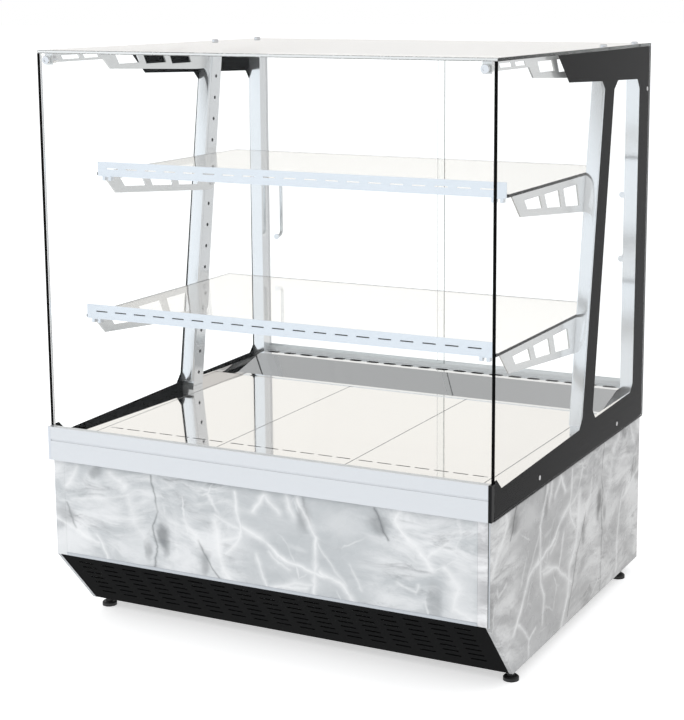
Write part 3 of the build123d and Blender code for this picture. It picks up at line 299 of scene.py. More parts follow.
def make_cloud_spot():
    """A soft oval patch."""
    group, inside, outside = new_group("Cloud spot")
    socket(group, "Vector", "INPUT", "NodeSocketVector")
    socket(group, "Centre", "INPUT", "NodeSocketVector")
    socket(group, "Size", "INPUT", "NodeSocketVector", (0.05, 0.05, 1.0))
    share(group, "Strength", 1.0)
    share(group, "So far", 0.0)
    socket(group, "Mask", "OUTPUT")
    given = inside.outputs
    full, gone = 0.25, 1.1
    here = vector_math(group, "SUBTRACT", given["Vector"], given["Centre"]).outputs[0]
    scaled = vector_math(group, "DIVIDE", here, given["Size"]).outputs[0]
    length = vector_math(group, "LENGTH", scaled).outputs["Value"]
    near = remap(group, length, full, gone, 1.0, 0.0, smooth=True)
    mask = math_node(group, "MULTIPLY", near, given["Strength"])
    mask = math_node(group, "MAXIMUM", given["So far"], mask)
    group.links.new(mask, outside.inputs["Mask"])
    return group


def stroke_masks(tree, vector, paths, spread):
    """Every run of the listed veins, with the vein width spread out into its soft skirt."""
    mask = 0.0
    for points, width, strength in paths:
        for start, end in zip(points, points[1:]):
            node = use_group(
                tree, STROKE, Vector=vector, Width=width * spread * MM,
                Strength=strength, So_far=mask,
            )
            node.inputs["From"].default_value = (start[0] * MM, start[1] * MM, 0.0)
            node.inputs["To"].default_value = (end[0] * MM, end[1] * MM, 0.0)
            mask = node.outputs["Mask"]
    return mask


def spot_masks(tree, vector, spots):
    mask = 0.0
    for centre, size, strength in spots:
        node = use_group(tree, SPOT, Vector=vector, Strength=strength, So_far=mask)
        node.inputs["Centre"].default_value = (centre[0] * MM, centre[1] * MM, 0.0)
        node.inputs["Size"].default_value = (size[0] * MM, size[1] * MM, 1.0)
        mask = node.outputs["Mask"]
    return mask


def warped(tree, vector, scale, amount):
    """The same place pushed about by a noise, so that drawn lines wander."""
    sway = noise(tree, vector, scale, 2.0, 0.55)
    centred = vector_math(tree, "SUBTRACT", sway.outputs["Color"], (0.5, 0.5, 0.5))
    push = vector_math(tree, "MULTIPLY_ADD", centred.outputs[0], (amount, amount, 0.0))
    tree.links.new(vector, push.inputs[2])
    return push.outputs["Vector"]


def make_marble():
    """Grey marble decor: clouded ground, smoky faults, cracks and white veins."""
    group, inside, outside = new_group("Marble decor")
    socket(group, "Vector", "INPUT", "NodeSocketVector")
    socket(group, "Ground", "INPUT", "NodeSocketColor", (0.62, 0.64, 0.66, 1))
    socket(group, "Cloud", "INPUT", "NodeSocketColor", (0.82, 0.83, 0.85, 1))
    socket(group, "Smoke", "INPUT", "NodeSocketColor", (0.25, 0.26, 0.28, 1))
    socket(group, "Vein", "INPUT", "NodeSocketColor", (0.97, 0.97, 0.98, 1))
    socket(group, "Colour", "OUTPUT", "NodeSocketColor")
    vector = inside.outputs["Vector"]
    ground, light, dark, white = (inside.outputs[k] for k in ("Ground", "Cloud", "Smoke", "Vein"))
    bedding_lean, bedding_stretch = math.radians(62), 0.38
    quiet_middle = 0.6
    crack_skirt, vein_skirt = 2.2, 3.0

    def limited(value, *ends, smooth=False):
        """A share that is lowered around the quiet middle of the front sheet."""
        return math_node(group, "MULTIPLY", remap(group, value, *ends, smooth=smooth), busy)

    lean = add(group, "ShaderNodeMapping")
    lean.inputs["Rotation"].default_value = (0.0, 0.0, bedding_lean)
    lean.inputs["Scale"].default_value = (bedding_stretch, 1.0, 1.0)
    group.links.new(warped(group, vector, 5.0, 0.09), lean.inputs["Vector"])
    slanted = lean.outputs["Vector"]

    off_middle = math_node(group, "SUBTRACT", split_axes(group, vector)["X"], quiet_middle)
    off_middle = math_node(group, "ABSOLUTE", off_middle)
    busy = remap(group, off_middle, 0.08, 0.22, 0.25, 1.0, smooth=True)

    cloud = noise(group, slanted, 14.0, 6.0, 0.62, 0.5).outputs["Fac"]
    cloudy = limited(cloud, 0.40, 0.66, 0.0, 1.0, smooth=True)
    shade = blend_colour(group, cloudy, ground, light)
    streaks = noise(group, slanted, 46.0, 4.0, 0.6, 0.6).outputs["Fac"]
    shade = blend_colour(group, limited(streaks, 0.45, 0.72, 0.0, 0.55), shade, light)
    haze = noise(group, slanted, 26.0, 5.0, 0.65, 0.8).outputs["Fac"]
    shade = blend_colour(group, limited(haze, 0.52, 0.74, 0.0, 0.5, smooth=True), shade, dark)

    bent = warped(group, warped(group, vector, 10.0, 0.03), 60.0, 0.007)
    wide = warped(group, warped(group, vector, 7.0, 0.05), 34.0, 0.02)
    shade = blend_colour(group, spot_masks(group, wide, BRIGHT_SPOTS), shade, light)
    shade = blend_colour(group, spot_masks(group, wide, DARK_SPOTS), shade, dark)
    shade = blend_colour(group, stroke_masks(group, bent, CRACKS, crack_skirt), shade, dark)

    hairs = add(group, "ShaderNodeTexVoronoi", feature="DISTANCE_TO_EDGE")
    hairs.inputs["Scale"].default_value = 9.0
    group.links.new(wide, hairs.inputs["Vector"])
    hair = remap(group, hairs.outputs["Distance"], 0.0, 0.03, 0.5, 0.0, smooth=True)
    gate = noise(group, vector, 6.0, 2.0).outputs["Fac"]
    gate = remap(group, gate, 0.5, 0.62, 0.0, 1.0, smooth=True)
    broken = noise(group, vector, 30.0, 3.0).outputs["Fac"]
    broken = remap(group, broken, 0.3, 0.6, 0.68, 1.0)
    veins = stroke_masks(group, bent, VEINS, vein_skirt)
    veins = math_node(group, "MULTIPLY", veins, broken)
    veins = math_node(group, "MAXIMUM", veins, math_node(group, "MULTIPLY", hair, gate))
    group.links.new(blend_colour(group, veins, shade, white), outside.inputs["Colour"])
    return group


def make_pane_edge():
    """Tells a pane's cut edges from its faces, by the way each looks along a chosen axis."""
    group, inside, outside = new_group("Pane edge")
    socket(group, "Axis", "INPUT", "NodeSocketVector", (0.0, 1.0, 0.0))
    socket(group, "Edge", "OUTPUT")
    facing = add(group, "ShaderNodeNewGeometry").outputs["Normal"]
    along = vector_math(group, "DOT_PRODUCT", facing, inside.outputs["Axis"]).outputs["Value"]
    flat = math_node(group, "ABSOLUTE", along)
    group.links.new(math_node(group, "LESS_THAN", flat, 0.5), outside.inputs["Edge"])
    return group


GRAIN = make_brushed_grain()
POWDER = make_powder_grain()
STROKE = make_vein_stroke()
SPOT = make_cloud_spot()
MARBLE = make_marble()
PANE_EDGE = make_pane_edge()


# Finishes
def start_material(name):
    material = bpy.data.materials.new(name)
    material.use_nodes = True
    tree = material.node_tree
    shader = tree.nodes["Principled BSDF"]
    return material, tree, shader


def bump(tree, shader, height, strength, distance):
    node = add(tree, "ShaderNodeBump")
    node.inputs["Strength"].default_value = strength
    node.inputs["Distance"].default_value = distance
    tree.links.new(height, node.inputs["Height"])
    tree.links.new(node.outputs["Normal"], shader.inputs["Normal"])


def brushed_metal(
    name, colour, rough, spread, stretch, metallic=1.0, grain=500.0, depth=0.00002,
):
    """Metal with a belt's fine lines; stretch gives their direction."""
    material, tree, shader = start_material(name)
    vector = object_coords(tree, scale=stretch)
    lines = use_group(
        tree, GRAIN, Vector=vector, Grain_scale=grain, Base_roughness=rough, Spread=spread,
    )
    darker = tuple(c * 0.9 for c in colour)
    toned = blend_colour(tree, lines.outputs["Tone"], darker, colour)
    tree.links.new(toned, shader.inputs["Base Color"])
    tree.links.new(lines.outputs["Roughness"], shader.inputs["Roughness"])
    shader.inputs["Metallic"].default_value = metallic
    bump(tree, shader, lines.outputs["Height"], 0.15, depth)
    return material


def coated(
    name, colour, rough, dust, grain=900.0, depth=0.00004,
    dust_colour=(0.35, 0.34, 0.33), coat=0.0, shine=0.5,
):
    """Powder coat, enamel, rubber or moulded plastic."""
    material, tree, shader = start_material(name)
    skin = use_group(
        tree, POWDER, Vector=object_coords(tree), Grain_scale=grain,
        Base_roughness=rough, Dust=dust,
    )
    shade = blend_colour(tree, skin.outputs["Dust mask"], colour, dust_colour)
    tree.links.new(shade, shader.inputs["Base Color"])
    tree.links.new(skin.outputs["Roughness"], shader.inputs["Roughness"])
    shader.inputs["Specular IOR Level"].default_value = shine
    shader.inputs["Coat Weight"].default_value = coat
    shader.inputs["Coat Roughness"].default_value = 0.08
    bump(tree, shader, skin.outputs["Height"], 0.2, depth)
    return material


def marble(name, stone, side=False, painted_strip=None):
    """The front sheet runs along X; a side sheet runs back from its front return. A painted strip
    colour lightens that return, as painted light on the face that looks to the front.
    """
    side_run = 0.88
    return_depth = 0.0035
    material, tree, shader = start_material(name)
    spot = split_axes(tree, object_place(tree))
    across = math_node(tree, "ADD", spot["X"], 0.5)
    level = math_node(tree, "SUBTRACT", spot["Z"], BASE_Z)
    place_on = add(tree, "ShaderNodeCombineXYZ")
    tree.links.new(level, place_on.inputs["Y"])
    if side:
        back = math_node(tree, "SUBTRACT", FRONT_Y + side_run, spot["Y"])
        on_return = math_node(tree, "LESS_THAN", spot["Y"], FRONT_Y - return_depth)
        choice = add(tree, "ShaderNodeMix", data_type="FLOAT")
        tree.links.new(on_return, choice.inputs[0])
        tree.links.new(back, choice.inputs[2])
        tree.links.new(across, choice.inputs[3])
        tree.links.new(choice.outputs[0], place_on.inputs["X"])
    else:
        tree.links.new(across, place_on.inputs["X"])
    colour = use_group(tree, MARBLE, Vector=place_on.outputs[0], **stone).outputs["Colour"]
    # Painted light: the side sheet's front-facing return is made lighter than the rest of the sheet
    if painted_strip:
        lifted = blend_colour(tree, 1.0, colour, painted_strip, mode="MULTIPLY")
        colour = blend_colour(tree, on_return, colour, lifted)
    tree.links.new(colour, shader.inputs["Base Color"])
    film = noise(tree, object_coords(tree), 14.0, 4.0).outputs["Fac"]
    tree.links.new(remap(tree, film, *NOISE_REACH, 0.2, 0.32), shader.inputs["Roughness"])
    shader.inputs["Specular IOR Level"].default_value = 0.3
    peel = noise(tree, object_coords(tree), 420.0, 1.0).outputs["Fac"]
    bump(tree, shader, peel, 0.06, 0.00003)
    return material


def pane(
    name, axis, tint=(0.985, 0.993, 0.99), edge=(0.03, 0.035, 0.035),
    front_edge=None, bend=1.2,
):
    """Clear toughened glass: clear faces, and ground edges that are dark and less smooth."""
    material, tree, shader = start_material(name)
    mask = use_group(tree, PANE_EDGE, Axis=axis).outputs["Edge"]
    colour = blend_colour(tree, mask, tint, edge)
    if front_edge:
        sideways = use_group(tree, PANE_EDGE, Axis=(1, 0, 0)).outputs["Edge"]
        forward = math_node(tree, "MULTIPLY", mask, sideways)
        colour = blend_colour(tree, forward, colour, front_edge)
    tree.links.new(colour, shader.inputs["Base Color"])
    grind = noise(tree, object_coords(tree), 300.0, 3.0, 0.6).outputs["Fac"]
    ground = remap(tree, grind, *NOISE_REACH, 0.18, 0.32)
    tree.links.new(math_node(tree, "MULTIPLY", mask, ground), shader.inputs["Roughness"])
    shader.inputs["Transmission Weight"].default_value = 1.0
    shader.inputs["IOR"].default_value = bend
    shader.inputs["Specular IOR Level"].default_value = 0.2
    clear = add(tree, "ShaderNodeBsdfTransparent")
    clear.inputs["Color"].default_value = (0.985, 0.992, 0.99, 1)
    path = add(tree, "ShaderNodeLightPath").outputs
    passing = math_node(tree, "MAXIMUM", path["Is Shadow Ray"], path["Is Diffuse Ray"])
    mix = add(tree, "ShaderNodeMixShader")
    for index, source in enumerate((passing, shader.outputs[0], clear.outputs[0])):
        tree.links.new(source, mix.inputs[index])
    tree.links.new(mix.outputs[0], tree.nodes["Material Output"].inputs["Surface"])
    return material


def end_caps(name, bright, dark):
    """One finish for both ends of the front profile: bare on the left, black on the right."""
    material, tree, shader = start_material(name)
    right = math_node(tree, "GREATER_THAN", split_axes(tree, object_place(tree))["X"], 0.0)
    lines = use_group(
        tree, GRAIN, Vector=object_coords(tree, scale=ALONG_Z), Grain_scale=300.0,
        Base_roughness=0.35, Spread=0.06,
    )
    tree.links.new(blend_colour(tree, right, bright, dark), shader.inputs["Base Color"])
    tree.links.new(lines.outputs["Roughness"], shader.inputs["Roughness"])
    tree.links.new(remap(tree, right, 0.0, 1.0, 0.75, 0.0), shader.inputs["Metallic"])
    shader.inputs["Specular IOR Level"].default_value = 0.2
    return material


def ink(name, colour, rough):
    """Black enamel fired on the glass, seen through it."""
    material, tree, shader = start_material(name)
    mottle = noise(tree, object_coords(tree), 60.0, 3.0).outputs["Fac"]
    paler = tuple(c * 1.25 for c in colour)
    shade = blend_colour(tree, remap(tree, mottle, *NOISE_REACH, 0.0, 1.0), colour, paler)
    tree.links.new(shade, shader.inputs["Base Color"])
    dulled = remap(tree, mottle, *NOISE_REACH, rough, rough + 0.08)
    tree.links.new(dulled, shader.inputs["Roughness"])
    shader.inputs["Specular IOR Level"].default_value = 0.05
    return material


# Directions of the polishing lines
ALONG_X, ALONG_Y, ALONG_Z = (1, 30, 30), (30, 1, 30), (30, 30, 1)
EVEN = (1, 1, 1)

GREY_STONE = {
    "Ground": (0.585, 0.61, 0.625, 1),
    "Cloud": (0.88, 0.89, 0.9, 1),
    "Smoke": (0.2, 0.21, 0.22, 1),
    "Vein": (0.98, 0.985, 0.99, 1),
}
# The same marble made darker: painted shade for the right side, which faces away from the light
SHADED_STONE = {
    "Ground": (0.47, 0.47, 0.47, 1),
    "Cloud": (0.84, 0.84, 0.835, 1),
    "Smoke": (0.12, 0.12, 0.12, 1),
    "Vein": (0.95, 0.95, 0.945, 1),
}

FINISH = {
    "pane_front": pane("Clear glass, front pane", (0, 1, 0), front_edge=(0.75, 0.78, 0.78)),
    "pane_door": pane("Clear glass, doors", (0, 1, 0)),
    "pane_side": pane(
        "Clear glass, side panes", (1, 0, 0), edge=(0.008, 0.009, 0.009), bend=1.14,
    ),
    "pane_top": pane(
        "Clear glass, top pane", (0, 0, 1), tint=(0.975, 0.98, 0.975),
        edge=(0.05, 0.055, 0.055), front_edge=(0.8, 0.82, 0.82),
    ),
    "pane_shelf": pane(
        "Clear glass, shelves", (0, 0, 1), tint=(0.93, 0.905, 0.88), edge=(0.03, 0.028, 0.025),
    ),
    "polish": coated("Polished glass edge", (0.82, 0.84, 0.84), 0.2, 0.03),
    "ink": ink("Black fired border", (0.004, 0.004, 0.004), 0.6),
    "dark_strip": coated("Black silicone", (0.003, 0.003, 0.003), 0.6, 0.003, shine=0.05),
    # Painted shade: a dark grey strip for the shadow gap under the side glass
    "sill_shade": coated("Painted sill shade", (0.13, 0.13, 0.13), 0.55, 0.1),
    # Painted shade: grey strips that stand for the shadowed gaps between the deck plates
    "joint": coated("Painted joint shade", (0.3, 0.295, 0.29), 0.55, 0.05),
    # Painted shade for the groove beside the right corner bead
    "gap": coated("Painted corner gap shade", (0.09, 0.09, 0.09), 0.6, 0.05),
    "aluminium": brushed_metal(
        "Satin anodised aluminium", (0.83, 0.84, 0.85), 0.38, 0.06, ALONG_X, metallic=0.6,
    ),
    "track": brushed_metal(
        "Satin sill", (0.92, 0.93, 0.94), 0.45, 0.06, ALONG_X, metallic=0.25,
    ),
    "trim": brushed_metal(
        "Bright edge trim", (0.62, 0.64, 0.66), 0.35, 0.06, ALONG_X, metallic=0.6,
    ),
    "rail": brushed_metal("Satin rail", (0.9, 0.93, 0.97), 0.3, 0.05, ALONG_X, metallic=0.9),
    "ends": end_caps("Profile ends", (0.8, 0.82, 0.85), (0.006, 0.006, 0.006)),
    "post": brushed_metal(
        "Bright steel posts", (0.96, 0.97, 0.98), 0.14, 0.05, ALONG_Z, metallic=0.85,
    ),
    "plate": brushed_metal(
        "Bright steel plate", (0.93, 0.925, 0.92), 0.16, 0.06, ALONG_Y, metallic=0.55,
    ),
    "deck": brushed_metal(
        "Polished steel deck", (0.93, 0.9, 0.87), 0.05, 0.03, EVEN, grain=40.0, depth=0.00001,
    ),
    "duct": brushed_metal("Polished steel duct", (0.84, 0.84, 0.84), 0.05, 0.04, ALONG_X),
    "chrome": brushed_metal(
        "Chrome", (0.86, 0.87, 0.88), 0.06, 0.03, EVEN, grain=120.0, depth=0.000005,
    ),
    "screw": brushed_metal(
        "Plated screws", (0.8, 0.8, 0.8), 0.16, 0.05, EVEN, grain=200.0, depth=0.000005,
    ),
    "marble_front": marble("Marble decor, front", GREY_STONE),
    "marble_left": marble("Marble decor, left side", GREY_STONE, side=True),
    # Right side: the stone is darkened as painted shade, and its front return is lightened as
    # painted light
    "marble_right_shaded": marble(
        "Marble decor, right side, painted shade", SHADED_STONE, side=True, painted_strip=(1.2, 1.2, 1.22),
    ),
    "black": coated("Black powder coat", (0.005, 0.005, 0.005), 0.65, 0.004, shine=0.03),
    "rear": coated("Black powder coat, rear", (0.022, 0.022, 0.023), 0.5, 0.035),
    "tub": coated(
        "Stucco lining", (0.7, 0.72, 0.74), 0.4, 0.1, grain=260.0, depth=0.0002,
        dust_colour=(0.5, 0.5, 0.5),
    ),
    "fins": brushed_metal("Coil fins", (0.72, 0.74, 0.75), 0.4, 0.1, (1, 1, 40), metallic=0.9),
    "sheet": brushed_metal(
        "Galvanised sheet", (0.6, 0.62, 0.64), 0.42, 0.2, EVEN, metallic=0.9, grain=30.0,
    ),
    "fan": coated("Moulded fan", (0.03, 0.03, 0.034), 0.4, 0.2),
    "enamel": coated(
        "Compressor enamel", (0.012, 0.012, 0.014), 0.3, 0.25, grain=300.0, depth=0.0001,
    ),
    "tray": coated("Moulded tray", (0.68, 0.69, 0.7), 0.45, 0.15),
    "control": coated("Control housing", (0.006, 0.006, 0.007), 0.3, 0.01),
    "rocker": coated("Green rocker", (0.02, 0.28, 0.06), 0.25, 0.02, coat=0.3),
    "foot": coated("Moulded foot", (0.012, 0.012, 0.012), 0.5, 0.1),
    # Painted shade: the dark strip behind the rail's slots stands for the shade inside them
    "slot_shade": coated("Painted rail slot shade", (0.05, 0.05, 0.05), 0.6, 0.05),
}

DRESS = {
    "pane_front": ("front_glass",),
    "pane_door": ("door_left", "door_right"),
    "pane_side": ("side_glass_left", "side_glass_right"),
    "pane_top": ("top_glass",),
    "pane_shelf": ("shelf_glass_lower", "shelf_glass_upper"),
    "ink": ("side_borders",),
    "dark_strip": ("corner_seals",),
    "aluminium": ("front_profile", "top_track", "jambs"),
    "track": ("bottom_track",),
    "ends": ("profile_ends",),
    "rail": ("shelf_rail_lower", "shelf_rail_upper"),
    "post": ("post_left", "post_right", "rear_posts"),
    "plate": ("arm_left", "arm_right", "brackets_lower", "brackets_upper"),
    "deck": ("deck_plates", "deck_front_strip", "side_ledge_left", "side_ledge_right"),
    "duct": ("rear_duct",),
    "chrome": ("front_fixings", "top_buttons", "handle_left", "handle_right"),
    "screw": ("side_screws", "shelf_screws"),
    "marble_front": ("panel_front",),
    "marble_left": ("panel_left",),
    "marble_right_shaded": ("panel_right",),
    "black": ("base_frame", "base_floor", "kick_grille"),
    "rear": ("rear_panel",),
    "tub": ("insulated_tub",),
    "fins": ("evaporator", "condenser"),
    "sheet": ("evaporator_fan_plate", "condenser_fan_plate"),
    "fan": ("evaporator_fan_left", "evaporator_fan_right", "condenser_fan"),
    "enamel": ("compressor",),
    "tray": ("drain_tray",),
    "control": ("temperature_controller", "switch_frame"),
    "rocker": ("switch_rocker",),
    "foot": ("foot_front_left", "foot_front_right", "foot_rear_left", "foot_rear_right"),
}
for look, names in DRESS.items():
    for name in names:
        mesh = NODES[name].data
        mesh.materials.clear()
        mesh.materials.append(FINISH[look])


# Small pieces modelled one by one
def deselect():
    bpy.ops.object.select_all(action="DESELECT")


def activate(piece):
    bpy.context.view_layer.objects.active = piece


def add_bar(name, low, high):
    """A bar between two corners, in place and ready to shape."""
    deselect()
    centre = [(a + b) / 2 for a, b in zip(low, high)]
    bpy.ops.mesh.primitive_cube_add(size=1.0, location=centre)
    bar = bpy.context.object
    bar.name = name
    bar.dimensions = [b - a for a, b in zip(low, high)]
    bpy.ops.object.transform_apply(location=True, rotation=True, scale=True)
    return bar


def add_round(name, centre, radius, length):
    """A round bar along the depth of the case."""
    deselect()
    bpy.ops.mesh.primitive_cylinder_add(
        vertices=40, radius=radius, depth=length, location=centre, rotation=(math.pi / 2, 0, 0),
    )
    rod = bpy.context.object
    rod.name = name
    bpy.ops.object.transform_apply(location=True, rotation=True, scale=True)
    return rod


def looks_front(face):
    return face.normal.y < -0.9


def looks_back(face):
    return face.normal.y > 0.9


def looks_up(face):
    return face.normal.z > 0.9


def looks_right(face):
    return face.normal.x > 0.9


def pick(piece, wanted):
    """Selects the faces that the test wants and leaves the piece in edit mode."""
    bpy.ops.object.mode_set(mode="EDIT")
    bpy.ops.mesh.select_mode(type="FACE")
    bpy.ops.mesh.select_all(action="DESELECT")
    bpy.ops.object.mode_set(mode="OBJECT")
    for face in piece.data.polygons:
        face.select = bool(wanted(face))
    bpy.ops.object.mode_set(mode="EDIT")


def leave():
    bpy.ops.object.mode_set(mode="OBJECT")


def extrude(piece, wanted, move):
    pick(piece, wanted)
    bpy.ops.mesh.extrude_region_move(TRANSFORM_OT_translate={"value": move})
    leave()


def step_face(piece, wanted, rim, move):
    """A shallow step: the wanted faces are inset by the rim and moved."""
    pick(piece, wanted)
    bpy.ops.mesh.inset(thickness=rim)
    bpy.ops.mesh.extrude_region_move(TRANSFORM_OT_translate={"value": move})
    leave()


def round_rim(piece, wanted, width, segments):
    pick(piece, wanted)
    bpy.ops.mesh.bevel(offset=width, segments=segments, affect="EDGES")
    leave()


def cut_across(piece, normal, *places):
    """Cuts through the whole piece at each place along the normal."""
    bpy.ops.object.mode_set(mode="EDIT")
    for where in places:
        bpy.ops.mesh.select_all(action="SELECT")
        bpy.ops.mesh.bisect(plane_co=[where * n for n in normal], plane_no=normal)
    leave()


def soften(piece, width, segments=2):
    bevel = piece.modifiers.new("Edge", "BEVEL")
    bevel.width = width
    bevel.segments = segments
    bevel.limit_method = "ANGLE"
    bevel.angle_limit = math.radians(30)
    activate(piece)
    bpy.ops.object.modifier_apply(modifier=bevel.name)


def finish(piece, look):
    deselect()
    piece.select_set(True)
    activate(piece)
    bpy.ops.object.shade_smooth_by_angle(angle=math.radians(35))
    piece.data.materials.clear()
    piece.data.materials.append(FINISH[look])
    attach(piece, "case")


def join(pieces):
    deselect()
    for piece in pieces:
        piece.select_set(True)
    activate(pieces[0])
    bpy.ops.object.join()
    return pieces[0]


def finish_pair(piece, left_name, look):
    """Finishes a right-hand piece and its mirrored copy on the left."""
    twin = piece.copy()
    twin.data = piece.data.copy()
    twin.name = left_name
    bpy.context.scene.collection.objects.link(twin)
    twin.data.transform(Matrix.Scale(-1, 4, (1, 0, 0)))
    twin.data.flip_normals()
    for one in (piece, twin):
        finish(one, look)


def glass_knobs():
    """Turned heads on the front glass, each with the sleeve behind it that the arm ends in."""
    head_radius, head_length, head_rim, dish_depth = 0.0085, 0.0058, 0.0034, 0.0016
    sleeve_radius, sleeve_length, sleeve_rim, neck_length = 0.0078, 0.0216, 0.0025, 0.006
    knob_level = 1168.8
    end_area = 2e-5
    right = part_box("front_fixings")[1].x
    middle = place((right - head_radius) / MM, 0, knob_level)
    head = add_round(
        "glass_knob_right", middle + Vector((0, -0.0031, 0)), head_radius, head_length,
    )
    round_rim(head, looks_front, 0.0011, 3)
    step_face(
        head, lambda f: looks_front(f) and f.area > end_area, head_rim, (0, dish_depth, 0),
    )
    sleeve = add_round("sleeve", middle + Vector((0, 0.0172, 0)), sleeve_radius, sleeve_length)
    round_rim(sleeve, lambda f: looks_front(f) or looks_back(f), 0.0008, 2)
    step_face(
        sleeve, lambda f: looks_back(f) and f.area > end_area, sleeve_rim, (0, neck_length, 0),
    )
    knob = join([head, sleeve])
    finish_pair(knob, "glass_knob_left", "chrome")
    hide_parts("front_fixings")


def rail_slot_shade():
    """The dark strip behind the slots of the lower rail: painted shade for the shaded inside of the
    slots.
    """
    low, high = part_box("shelf_rail_lower")
    rail_sheet, half_rail = 0.0015, 0.01425
    end_gap, half_height, thickness = 0.018, 0.0045, 0.0008
    back = low.y + rail_sheet + 0.00005
    middle = low.z + rail_sheet + half_rail
    painted_strip = add_bar(
        "rail_slot_shade_lower",
        (low.x + end_gap, back, middle - half_height),
        (high.x - end_gap, back + thickness, middle + half_height),
    )
    step_face(painted_strip, looks_back, 0.0012, (0, 0.001, 0))
    soften(painted_strip, 0.0002, 1)
    finish(painted_strip, "slot_shade")


def rail_clips():
    """Two-toothed clips that hold the rails to the shelf glass."""
    outer, outer_cut, inner_cut, inner = 0.008, 0.015, 0.023, 0.03
    tooth = 0.0075
    for row in ("lower", "upper"):
        low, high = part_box("shelf_rail_" + row)
        clip = add_bar(
            "rail_clip_right_" + row,
            (high.x - inner, low.y + 0.004, low.z - 0.0022),
            (high.x - outer, low.y + 0.015, low.z - 0.0001),
        )
        cut_across(clip, (1, 0, 0), high.x - inner_cut, high.x - outer_cut)
        between = high.x - (inner_cut + outer_cut) / 2
        extrude(
            clip,
            lambda f: f.normal.z < -0.9 and abs(f.center.x - between) > 0.005,
            (0, 0, -tooth),
        )
        soften(clip, 0.0006)
        finish_pair(clip, "rail_clip_left_" + row, "rail")


def post_ties():
    """Folded strips under the top glass, from each leaning post back to the rear post."""
    inner_face, sheet, height, flange = 0.4762, 0.003, 0.0185, 0.0125
    front = place(0, 652, 0).y
    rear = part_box("rear_posts")[0].y - 0.0003
    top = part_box("post_right")[1].z
    tie = add_bar(
        "post_tie_right", (inner_face, front, top - height), (inner_face + sheet, rear, top),
    )
    cut_across(tie, (0, 0, 1), top - sheet)
    extrude(tie, lambda f: looks_right(f) and f.center.z > top - sheet, (flange, 0, 0))
    soften(tie, 0.0006)
    finish_pair(tie, "post_tie_left", "plate")


def post_noses():
    """The lip of each leaning post, glued to the printed border ahead of the post."""
    slope = 0.15
    inner, outer = 0.4637, 0.4933
    lip_depth, joint = 0.0085, 0.0003
    foot_depth, foot_level = 488, 386.5
    foot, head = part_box("post_right")
    low, high = foot.z + 0.0215, head.z - 0.0005
    start = place(0, foot_depth, foot_level)
    face = start.y + slope * (low - start.z)
    nose = add_bar(
        "post_nose_right", (inner, face - lip_depth, low), (outer, face - joint, high),
    )
    pick(nose, looks_up)
    bpy.ops.transform.translate(value=(0, slope * (high - low), 0))
    leave()
    step_face(nose, looks_front, 0.002, (0, -0.0004, 0))
    soften(nose, 0.0006)
    finish_pair(nose, "post_nose_left", "post")


def front_trims():
    """The bright edges under the front marble and on the top glass, and the corner bead with a dark
    strip of painted shade beside it.
    """
    low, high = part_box("panel_front")
    edge = add_bar(
        "panel_edge_trim",
        (low.x, low.y - 0.0007, low.z + 0.0001),
        (high.x, low.y - 0.0001, low.z + 0.0068),
    )
    step_face(edge, looks_front, 0.0007, (0, -0.0004, 0))
    finish(edge, "trim")

    arris = 0.0009
    low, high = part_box("top_glass")
    band = add_bar(
        "top_edge_polish",
        (low.x + 0.001, low.y - 0.0004, low.z + arris),
        (high.x - 0.001, low.y - 0.0001, high.z - arris),
    )
    step_face(band, looks_front, 0.0004, (0, -0.0003, 0))
    finish(band, "polish")

    bead_foot = 0.162
    low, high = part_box("panel_right")
    for name, start, end, proud, look, slot in (
        # Painted shade: the dark strip stands for the shaded groove beside the corner bead
        ("corner_gap_shade_right", 0.4896, 0.4916, 0.0002, "gap", "black_seal"),
        ("corner_bead_right", 0.4916, 0.4941, 0.0009, "trim", "satin_aluminium"),
    ):
        bead = add_bar(
            name, (start, low.y - proud, bead_foot), (end, low.y - 0.00005, high.z - 0.0002),
        )
        step_face(bead, looks_front, 0.0005, (0, -0.0002, 0))
        finish(bead, look)


def deck_joint_shades():
    """Grey strips in the joints between the deck plates and beside them: painted shade for the
    shadowed gaps there.
    """
    half_width, rim, crown = 0.001, 0.0004, 0.00015
    under_duct = 0.014
    low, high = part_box("deck_plates")
    third = (high.x - low.x) / 3
    for name, middle in (
        ("deck_joint_shade_left", low.x + third),
        ("deck_joint_shade_right", high.x - third),
        ("deck_joint_shade_ledge_left", low.x),
        ("deck_joint_shade_ledge_right", high.x),
    ):
        shade_bar = add_bar(
            name,
            (middle - half_width, low.y + 0.001, high.z + 0.00002),
            (middle + half_width, high.y - under_duct, high.z + 0.0001),
        )
        step_face(shade_bar, looks_up, rim, (0, 0, crown))
        finish(shade_bar, "joint")


def sill_shade_strips():
    """The dark grey strip under the side glass, where it meets the marble sheet: painted shade for
    the shadow gap there.
    """
    low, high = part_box("side_glass_right")
    inner, outer, height, joint = 0.4942, 0.4993, 0.0026, 0.0003
    dark_strip = add_bar(
        "sill_shade_right",
        (inner, low.y + 0.002, low.z - height),
        (outer, high.y - 0.001, low.z - joint),
    )
    step_face(dark_strip, looks_right, 0.0005, (0.0003, 0, 0))
    finish_pair(dark_strip, "sill_shade_left", "sill_shade")


glass_knobs()
rail_slot_shade()
rail_clips()
post_ties()
post_noses()
front_trims()
deck_joint_shades()
sill_shade_strips()


# Stage, light and camera
WARM_WALL = (1.0, 0.985, 0.965)
COOL_WINDOW = (0.9, 0.945, 1.0)


def mix_shaders(tree, factor, one, two):
    node = add(tree, "ShaderNodeMixShader")
    for index, source in enumerate((factor, one, two)):
        tree.links.new(source, node.inputs[index])
    return node.outputs[0]


def ray_kinds(tree):
    """Which rays come straight or through glass from the camera, and which from a mirror."""
    path = add(tree, "ShaderNodeLightPath").outputs
    mirrored = math_node(tree, "GREATER_THAN", path["Glossy Depth"], 0.5)
    seen = math_node(tree, "MAXIMUM", path["Is Camera Ray"], path["Is Transmission Ray"])
    return seen, mirrored


